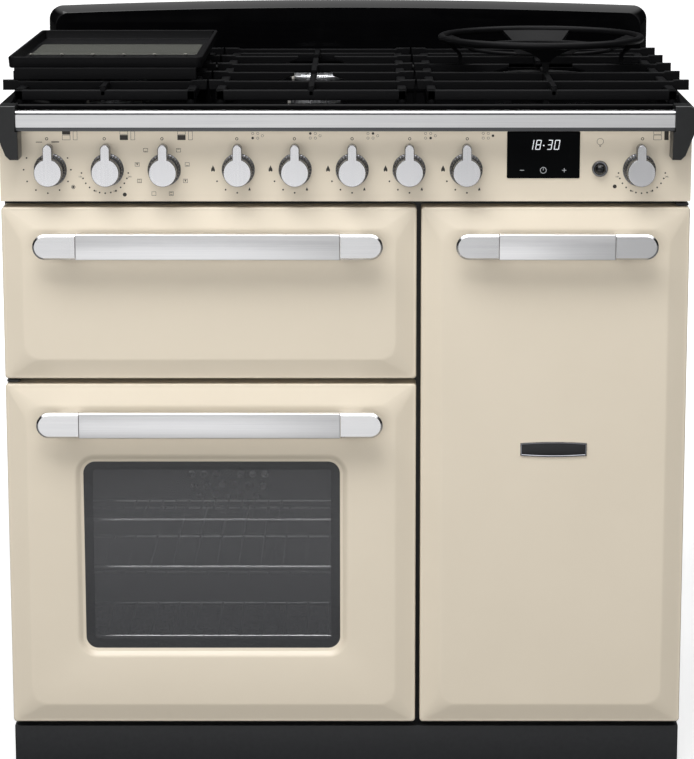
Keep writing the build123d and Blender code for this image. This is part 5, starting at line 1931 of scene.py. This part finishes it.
    def segments(self, char: str, x: float) -> list[Surface]:
        """Seven-segment figure, leaning as x + z / 6.

        Args:
            char: The figure.
            x: Its left side.

        Returns:
            The lit bars.
        """
        lit = {"0": "abcdef", "1": "bc", "3": "abcdg", "8": "abcdefg"}[char]
        w, h = self.digit
        t, g = 1.05, 0.25
        half = h / 2
        bars = {"a": (t, w - t, h - t, h), "g": (t, w - t, half - t / 2, half + t / 2), "d": (t, w - t, 0, t),
                "b": (w - t, w, half + g, h - g), "c": (w - t, w, g, half - g), "f": (0, t, half + g, h - g),
                "e": (0, t, g, half - g)}
        out = []
        for key in lit:
            x0, x1, z0, z1 = bars[key]
            corners = ((x0, z0), (x1, z0), (x1, z1), (x0, z1))
            leaning = [(x + px + pz / 6, self.shown_z + pz) for px, pz in corners]
            out.append(self.flat(polygon_outline(leaning), self.glass_d))
        return out

    def time(self) -> list[Surface]:
        """Lit time of the clock.

        Returns:
            The lit bars and the point.
        """
        out: list[Surface] = []
        for char, x in zip(self.shown, self.shown_x):
            out += self.segments(char, x)
        out.append(self.flat(circle_outline(self.point_x, self.shown_z + 5.5, 1.0, 14), self.glass_d))
        return out

    def signs(self) -> list[Surface]:
        """Three touch signs below the time: less, a dial with one hand, and more.

        Returns:
            The lit strokes.
        """
        z = self.sign_z
        bars = [(x - 2.6, x + 2.6, z - 0.4, z + 0.4) for x in (self.minus_x, self.plus_x)]
        bars.append((self.plus_x - 0.4, self.plus_x + 0.4, z - 2.6, z + 2.6))
        bars.append((self.dial_x - 0.3, self.dial_x + 0.3, z - 0.2, z + 2.6))
        dial = [(4.2, 0.0), (3.5, 0.0), (3.5, -self.lift), (4.2, -self.lift)]
        face = ring_loop(dial, self.dial_x, self.glass_d, z, View.FRONT, 28)
        return [self.block(bar, on_glass=True) for bar in bars] + [face]

    def build(self, shop: Workshop, oven_x: Sequence[float], gas_x: Sequence[float]) -> None:
        """Make the ink, spread to line up with the levers as the camera sees them, and the lit figures.

        Args:
            shop: The workshop.
            oven_x: Places of the grill, the main oven's two and the tall oven's knobs.
            gas_x: Places of the gas knobs.
        """
        grill, main, selector, tall = [self.spread(x) for x in oven_x]
        ink = self.grill(grill) + self.oven(main, 1) + self.functions(selector)
        ink += self.oven(tall, 2, zone_x=14.0, fill=238.0)
        for i, x in enumerate(gas_x):
            ink += self.gas(self.spread(x), i)
        ink += self.bulb(LIGHT_X, self.bulb_z)
        shop.make("panel_print", joined(ink), "panel_ink", FLOOR_BODY)
        shop.make("clock_figures", joined(self.time()), "time_lit", FLOOR_BODY)
        shop.make("clock_signs", joined(self.signs()), "sign_lit", FLOOR_BODY)


@dataclass
class Plinth:
    """Folded plinth panel with soft edges."""

    half: float = HALF_W
    front: float = 12.0
    back: float = 41.0
    low: float = 10.0
    top: float = 67.0
    sheet: float = 2.0
    edge: float = 0.9

    def build(self, shop: Workshop) -> None:
        """Make the face, the top return and the end returns.

        Args:
            shop: The workshop.
        """
        across, height = (-self.half, self.half), (self.low, self.top)
        face = soft_box(across, (self.front, self.front + self.sheet), height, self.edge)
        shelf = soft_box(across, (self.front, self.back - 1), (self.top - self.sheet, self.top), self.edge)
        parts = [face, shelf]
        for side in (-1, 1):
            low, high = sorted((side * self.half, side * (self.half - self.sheet)))
            parts.append(soft_box((low, high), (self.front, self.back), height, self.edge))
        shop.make("plinth_panel", joined(parts), "charcoal_paint", FLOOR_BODY, ["plinth"])


FINISHES = (
    Finish("cream_enamel", (220, 209, 190), (218, 207, 188), (0.36, 0.42), ior=1.5, grain=(9, 9, 9),
           bump=0.02),
    Finish("brushed_steel", (226, 226, 227), (216, 216, 218), (0.26, 0.36), 1.0, grain=(6, 600, 600)),
    Finish("satin_steel", (208, 208, 209), (200, 200, 202), (0.16, 0.24), 1.0, grain=(4, 700, 700),
           bump=0.03),
    Finish("knob_steel", (224, 224, 226), (216, 216, 219), (0.16, 0.24), 1.0, grain=(300, 300, 6), bump=0.03),
    # Darker steel of the knob grips: painted shade and dark reflection round their edges.
    Finish("knob_edge_painted_shade", (112, 113, 116), (104, 105, 108), (0.22, 0.3), 1.0, grain=(300, 300, 6), bump=0.03),
    Finish("bezel_chrome", (124, 125, 129), (112, 113, 117), (0.05, 0.08), 1.0, grain=(40, 40, 40), bump=0.0),
    Finish("gloss_black", (10, 10, 11), (8, 8, 9), (0.04, 0.08), bump=0.0),
    Finish("bracket_black", (20, 21, 22), (16, 17, 18), (0.26, 0.36), grain=(160, 160, 160), bump=0.06),
    Finish("chrome", (236, 237, 239), (226, 227, 230), (0.04, 0.08), 1.0, grain=(40, 40, 40), bump=0.0),
    Finish("plated_wire", (244, 245, 246), (236, 237, 239), (0.12, 0.2), 1.0, bump=0.0),
    Finish("black_plastic", (24, 25, 27), (20, 21, 23), (0.3, 0.42), grain=(220, 220, 220), bump=0.08),
    Finish("display_glass", (7, 8, 9), (5, 6, 7), (0.04, 0.07), ior=1.12, grain=(20, 20, 20), bump=0.0),
    Finish("charcoal_paint", (38, 39, 41), (33, 34, 36), (0.3, 0.4), grain=(160, 160, 160), bump=0.06),
    Finish("black_enamel", (7, 7, 8), (5, 5, 6), (0.03, 0.07), ior=1.12, grain=(30, 30, 30), bump=0.01),
    Finish("edge_enamel", (9, 9, 10), (7, 7, 8), (0.03, 0.07), ior=1.27, grain=(30, 30, 30), bump=0.01),
    # Dark steel of the towel rail's painted shadow line and the painted shade under the rail.
    Finish("painted_shade_steel", (96, 97, 99), (88, 89, 91), (0.3, 0.4), 1.0, grain=(6, 600, 600), bump=0.03),
    Finish("cap_enamel", (12, 12, 13), (9, 9, 10), (0.25, 0.35), grain=(180, 180, 180), bump=0.06),
    Finish("aluminium", (226, 227, 229), (212, 213, 216), (0.22, 0.34), 0.85, grain=(70, 70, 70)),
    Finish("ceramic", (236, 232, 224), (226, 221, 212), (0.35, 0.5), grain=(120, 120, 120)),
    Speckle("cast_iron", (15, 15, 16), (20, 20, 21), 900.0, 0.25, (0.3, 0.44), bump=0.08, ior=1.12),
    # Pale iron of the painted glints on the griddle's rib ends.
    Speckle("painted_glint_iron", (128, 127, 120), (150, 149, 142), 700.0, 0.25, (0.3, 0.4), bump=0.1, ior=1.3),
    Speckle("pale_plate_iron", (64, 65, 60), (72, 73, 68), 700.0, 0.25, (0.35, 0.5), bump=0.1, ior=1.3),
    Pane("glass", (106, 107, 110), 0.28),
    Pane("inner_glass", (60, 62, 62), 0.06),
    Finish("print_black", (24, 25, 27), (20, 21, 23), (0.3, 0.4), grain=(90, 90, 90), bump=0.0),
    Finish("panel_ink", (44, 41, 36), (38, 35, 31), grain=(90, 90, 90), bump=0.0),
    Glow("time_lit", (214, 217, 222), 0.7),
    Glow("sign_lit", (150, 152, 156), 0.6),
    Speckle("oven_enamel", (38, 39, 42), (92, 94, 100), 420.0, 0.14, (0.22, 0.34)),
    Spangle("galvanised_steel", (190, 194, 198), (150, 154, 160)),
    Finish("brass", (200, 164, 92), (184, 148, 78), (0.28, 0.4), 1.0),
    Finish("seal_rubber", (34, 33, 32), (28, 27, 27), (0.6, 0.75), grain=(400, 400, 400), bump=0.15),
    Finish("roller_plastic", (52, 52, 54), (44, 44, 46), (0.45, 0.55), grain=(200, 200, 200), bump=0.08),
    Pane("lamp_glass", (250, 244, 226), 0.7),
    Finish("mineral_wool", (206, 190, 140), (176, 158, 108), (0.8, 0.95), grain=(90, 260, 90), bump=0.6,
           bump_depth=0.002),
)

DRESSED = {
    "galvanised_steel": ("base_frame", "back_panel", "fan_motors", "heating_elements", "front_feet"),
    "charcoal_paint": ("side_panels", "front_frame"),
    "cream_enamel": ("control_fascia",),
    "oven_enamel": ("grill_cavity", "main_oven_cavity", "tall_oven_cavity", "fan_covers", "grill_door_liner",
                    "oven_door_liner", "tall_door_liner"),
    "mineral_wool": ("oven_insulation",),
    "brass": ("gas_manifold",),
    "black_plastic": ("oven_switches",),
    "plated_wire": ("side_runners", "oven_door_rack", "grill_trivet", "main_oven_shelves",
                    "tall_oven_shelves"),
    "seal_rubber": ("door_seals",),
    "lamp_glass": ("oven_lamp",),
    "black_enamel": ("grill_carriage",),
    "aluminium": ("main_oven_fan", "tall_oven_fan"),
    "roller_plastic": ("rear_rollers",),
}


@dataclass
class Studio:
    """White floor, soft lamps and the camera of the photograph, in metres."""

    floor_half: float = 60.0
    near: float = 1.2
    far: float = 2.6
    seen_floor: Triple = (210, 210, 210)
    bounce: Triple = (130, 130, 130)
    glossy_floor: float = 0.9
    pool: tuple[tuple[str, float, float, float, float], ...] = (
        ("Y", 8.8, 11.0, 1.0, 0.0), ("Y", 0.9, 1.6, 0.0, 1.0), ("X", -3.0, -1.8, 0.0, 1.0),
        ("X", 1.8, 3.0, 1.0, 0.0), ("X", 0.05, 0.65, 1.0, 0.36))
    lamps: tuple[tuple[str, Triple, Span, float], ...] = (
        ("key", (-0.8, -2.4, 4.0), (3.2, 1.8), 120.0), ("fill", (-0.4, -5.2, 1.2), (4.0, 2.0), 110.0),
        ("rear", (0.9, 4.4, 2.4), (3.0, 2.0), 60.0))
    aim: Triple = (0.0, -0.25, 0.5)
    ambient: float = 0.24
    dark_gain: float = 0.03
    front_gain: float = 0.8
    front_band: Span = (-0.35, -0.8)
    roof_gain: float = 5.0
    roof_band: Span = (0.6, 0.9)
    shadow_lift: float = 0.6
    camera_place: Triple = (0.0258, -4.0545, 1.318)
    tilt: float = 11.59
    lens: float = 139.54
    sensor: float = 36.0
    shift: float = -0.0245
    sight: float = 200.0

    def mirrored(self, ink: Ink, place: bpy.types.NodeSocket,
                 ray: bpy.types.NodeSocket) -> bpy.types.NodeSocket:
        """Light of the floor in reflections: a pool that is the product of smooth steps of x and of |y|.

        Args:
            ink: The floor's material.
            place: Output with the place on the floor.
            ray: Output that is one for a reflected ray.

        Returns:
            Output with the share of light.
        """
        parts = ink.add("SeparateXYZ")
        ink.link(place, parts.inputs["Vector"])
        away = ink.add("Math", operation="ABSOLUTE")
        ink.link(parts.outputs["Y"], away.inputs[0])
        reaches = {"X": parts.outputs["X"], "Y": away.outputs["Value"]}
        for axis, start, stop, low, high in self.pool:
            ramp = ink.add("MapRange", interpolation_type="SMOOTHSTEP", From_Min=start, From_Max=stop,
                           To_Min=low, To_Max=high)
            ink.link(reaches[axis], ramp.inputs["Value"])
            share = ink.add("Math", operation="MULTIPLY")
            ink.link(ray, share.inputs[0])
            ink.link(ramp.outputs["Result"], share.inputs[1])
            ray = share.outputs["Value"]
        return ray

    def floor(self) -> None:
        """Floor that reads white to the camera, keeps the shadow near the cooker and returns little light."""
        half = self.floor_half
        corners = [(-half, -half, 0), (half, -half, 0), (half, half, 0), (-half, half, 0)]
        mesh = bpy.data.meshes.new("floor")
        mesh.from_pydata(corners, [], [(0, 1, 2, 3)])
        ink = Ink("floor_white")
        ink.set(Roughness=0.9, Emission_Color=(1.0, 1.0, 1.0, 1.0))
        path = ink.add("LightPath")
        tone = ink.add("Mix", data_type="RGBA")
        tone.inputs["A"].default_value = linear(*self.bounce)
        tone.inputs["B"].default_value = linear(*self.seen_floor)
        ink.link(path.outputs["Is Camera Ray"], tone.inputs["Factor"])
        ink.link(tone.outputs["Result"], ink.shader.inputs["Base Color"])
        place = ink.add("TexCoord").outputs["Object"]
        reach = ink.add("VectorMath", operation="LENGTH")
        ink.link(place, reach.inputs[0])
        fade = ink.add("MapRange", From_Min=self.near, From_Max=self.far, To_Min=self.shadow_lift)
        ink.link(reach.outputs["Value"], fade.inputs["Value"])
        seen = ink.add("Math", operation="MULTIPLY")
        ink.link(fade.outputs["Result"], seen.inputs[0])
        ink.link(path.outputs["Is Camera Ray"], seen.inputs[1])
        light = ink.add("Math", operation="MULTIPLY_ADD")
        light.inputs[1].default_value = self.glossy_floor
        ink.link(self.mirrored(ink, place, path.outputs["Is Glossy Ray"]), light.inputs[0])
        ink.link(seen.outputs["Value"], light.inputs[2])
        ink.link(light.outputs["Value"], ink.shader.inputs["Emission Strength"])
        mesh.materials.append(ink.material)
        piece = in_scene("floor", mesh)

    def world(self) -> None:
        """World that is white to the camera and a soft light to surfaces.

        In reflections its strength is dark + front f + roof r: f rises towards the camera's side, r upwards.
        """
        world = bpy.data.worlds.new("room")
        bpy.context.scene.world = world
        world.use_nodes = True
        tree = world.node_tree
        ground = tree.nodes["Background"]
        ground.inputs["Color"].default_value = (1.0, 1.0, 1.0, 1.0)
        path = tree.nodes.new("ShaderNodeLightPath")
        way = tree.nodes.new("ShaderNodeTexCoord")
        parts = tree.nodes.new("ShaderNodeSeparateXYZ")
        tree.links.new(way.outputs["Generated"], parts.inputs["Vector"])
        bands = {"Y": (self.front_band, self.front_gain), "Z": (self.roof_band, self.roof_gain)}
        total = None
        for axis, (band, gain) in bands.items():
            rise = tree.nodes.new("ShaderNodeMapRange")
            rise.interpolation_type = "SMOOTHSTEP"
            rise.inputs["From Min"].default_value, rise.inputs["From Max"].default_value = band
            rise.inputs["To Max"].default_value = gain
            tree.links.new(parts.outputs[axis], rise.inputs["Value"])
            join = tree.nodes.new("ShaderNodeMath")
            join.inputs[1].default_value = self.dark_gain
            tree.links.new(rise.outputs["Result"], join.inputs[0])
            if total is not None:
                tree.links.new(total, join.inputs[1])
            total = join.outputs["Value"]
        shine = tree.nodes.new("ShaderNodeMix")
        shine.inputs["A"].default_value = self.ambient
        tree.links.new(path.outputs["Is Glossy Ray"], shine.inputs["Factor"])
        tree.links.new(total, shine.inputs["B"])
        seen = tree.nodes.new("ShaderNodeMix")
        seen.inputs["B"].default_value = 1.0
        tree.links.new(path.outputs["Is Camera Ray"], seen.inputs["Factor"])
        tree.links.new(shine.outputs["Result"], seen.inputs["A"])
        tree.links.new(seen.outputs["Result"], ground.inputs["Strength"])

    def light(self) -> None:
        """Large soft lamps: one high above the front, one behind the camera and a weaker one at the back."""
        for name, place, size, power in self.lamps:
            data = bpy.data.lights.new(name, "AREA")
            data.shape = "RECTANGLE"
            data.size, data.size_y = size
            data.energy = power
            piece = in_scene(name, data)
            piece.location = place
            piece.visible_glossy = name == "key"
            way = Vector(self.aim) - Vector(place)
            piece.rotation_euler = way.to_track_quat("-Z", "Y").to_euler()

    def camera(self) -> None:
        """Camera fitted to the photograph."""
        data = bpy.data.cameras.new("camera")
        data.sensor_fit = "VERTICAL"
        data.sensor_height = self.sensor
        data.lens = self.lens
        data.shift_x = self.shift
        data.clip_end = self.sight
        piece = in_scene("camera", data)
        piece.location = self.camera_place
        piece.rotation_euler = (math.radians(90.0 - self.tilt), 0.0, 0.0)
        bpy.context.scene.camera = piece

    def build(self) -> None:
        """Set the whole stage."""
        self.floor()
        self.world()
        self.light()
        self.camera()
        bpy.context.scene.view_settings.view_transform = "Standard"


@dataclass
class RangeCooker:
    """The whole cooker: its sub-assemblies with their places."""

    oven_knobs: tuple[tuple[str, float], ...] = (
        ("grill_knob", -381.0), ("main_oven_temperature_knob", -307.5), ("main_oven_function_knob", -234.0),
        ("tall_oven_knob", 379.0))
    gas_first: float = -138.5
    pitch: float = 73.5
    gas_count: int = 5
    wide_door: Span = (-HALF_W, 92.0)
    tall_door: Span = (98.0, HALF_W)
    grill_z: Span = (545.5, 771.5)
    oven_z: Span = (76.0, 538.0)
    handle_inset: float = 44.0
    handle_z: Span = (726.0, 491.5)
    hinge_inset: float = 30.0
    burner_gap: float = 26.0
    wok_gap: float = 44.0

    def doors(self, shop: Workshop) -> None:
        """Three pressed doors with their handles, the window and the badge plate.

        Args:
            shop: The workshop.
        """
        left, right = self.wide_door
        lugs = (left + self.hinge_inset, right - self.hinge_inset)
        tall_z = (self.oven_z[0], self.grill_z[1])
        doors = (
            PressedDoor("grill_door_pressing", "grill_door", (left, right, *self.grill_z), notches=lugs),
            PressedDoor("oven_door_pressing", "oven_door", (left, right, *self.oven_z), window=WINDOW),
            PressedDoor("tall_door_pressing", "tall_door", (*self.tall_door, *tall_z)))
        for door in doors:
            door.build(shop)
        high, low = self.handle_z
        places = (("grill_door", self.wide_door, high), ("oven_door", self.wide_door, low),
                  ("tall_door", self.tall_door, high))
        for body, (x0, x1), z in places:
            BarHandle(body, x0 + self.handle_inset, x1 - self.handle_inset, z).build(shop)
        OvenWindow().build(shop)
        Badge().build(shop)

    def controls(self, shop: Workshop) -> None:
        """Knobs, bezels, clock, light button, the marks printed on the fascia and the towel rail.

        Args:
            shop: The workshop.
        """
        oven_x = [x for _, x in self.oven_knobs]
        gas_x = [self.gas_first + self.pitch * i for i in range(self.gas_count)]
        knobs = list(self.oven_knobs) + [(f"gas_knob_{i + 1}", x) for i, x in enumerate(gas_x)]
        for name, x in knobs:
            ControlKnob(name, x).build(shop)
        Fascia().build(shop, oven_x + gas_x)
        Marks().build(shop, oven_x, gas_x)
        TowelRail().build(shop)

    def pair(self, x: float) -> tuple[Triple, ...]:
        """Openings of a pan support over two burners."""
        return tuple((x, d, self.burner_gap) for d in (NEAR_BURNER_D, FAR_BURNER_D))

    def hob(self, shop: Workshop) -> None:
        """Hob tray, upstand, burners, pan supports, griddle and wok ring.

        Args:
            shop: The workshop.
        """
        Hob().build(shop)
        wok = ((WOK_X, WOK_D, self.wok_gap),)
        supports = (
            PanSupport("left", x0=-450, x1=-182, in0=-428, in1=-194, burners=self.pair(LEFT_BURNER_X)),
            PanSupport("centre", x0=-180, x1=91, in0=-168, in1=79, burners=self.pair(CENTRE_BURNER_X)),
            PanSupport("right", x0=93, x1=450, in0=105, in1=428, burners=wok))
        for support in supports:
            support.build(shop)
        Griddle().build(shop)
        WokRing().build(shop)

    def build(self, shop: Workshop) -> None:
        """Make every piece and dress the construction nodes that stay in view.

        Args:
            shop: The workshop.
        """
        self.doors(shop)
        self.controls(shop)
        self.hob(shop)
        Plinth().build(shop)
        for finish, nodes in DRESSED.items():
            shop.dress(finish, *nodes)


def main() -> None:
    """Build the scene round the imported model."""
    logging.basicConfig(level=logging.INFO, format="%(name)s: %(message)s")
    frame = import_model()
    RangeCooker().build(Workshop(frame, FINISHES))
    Studio().build()
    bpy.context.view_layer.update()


if __name__ == "__main__":
    main()
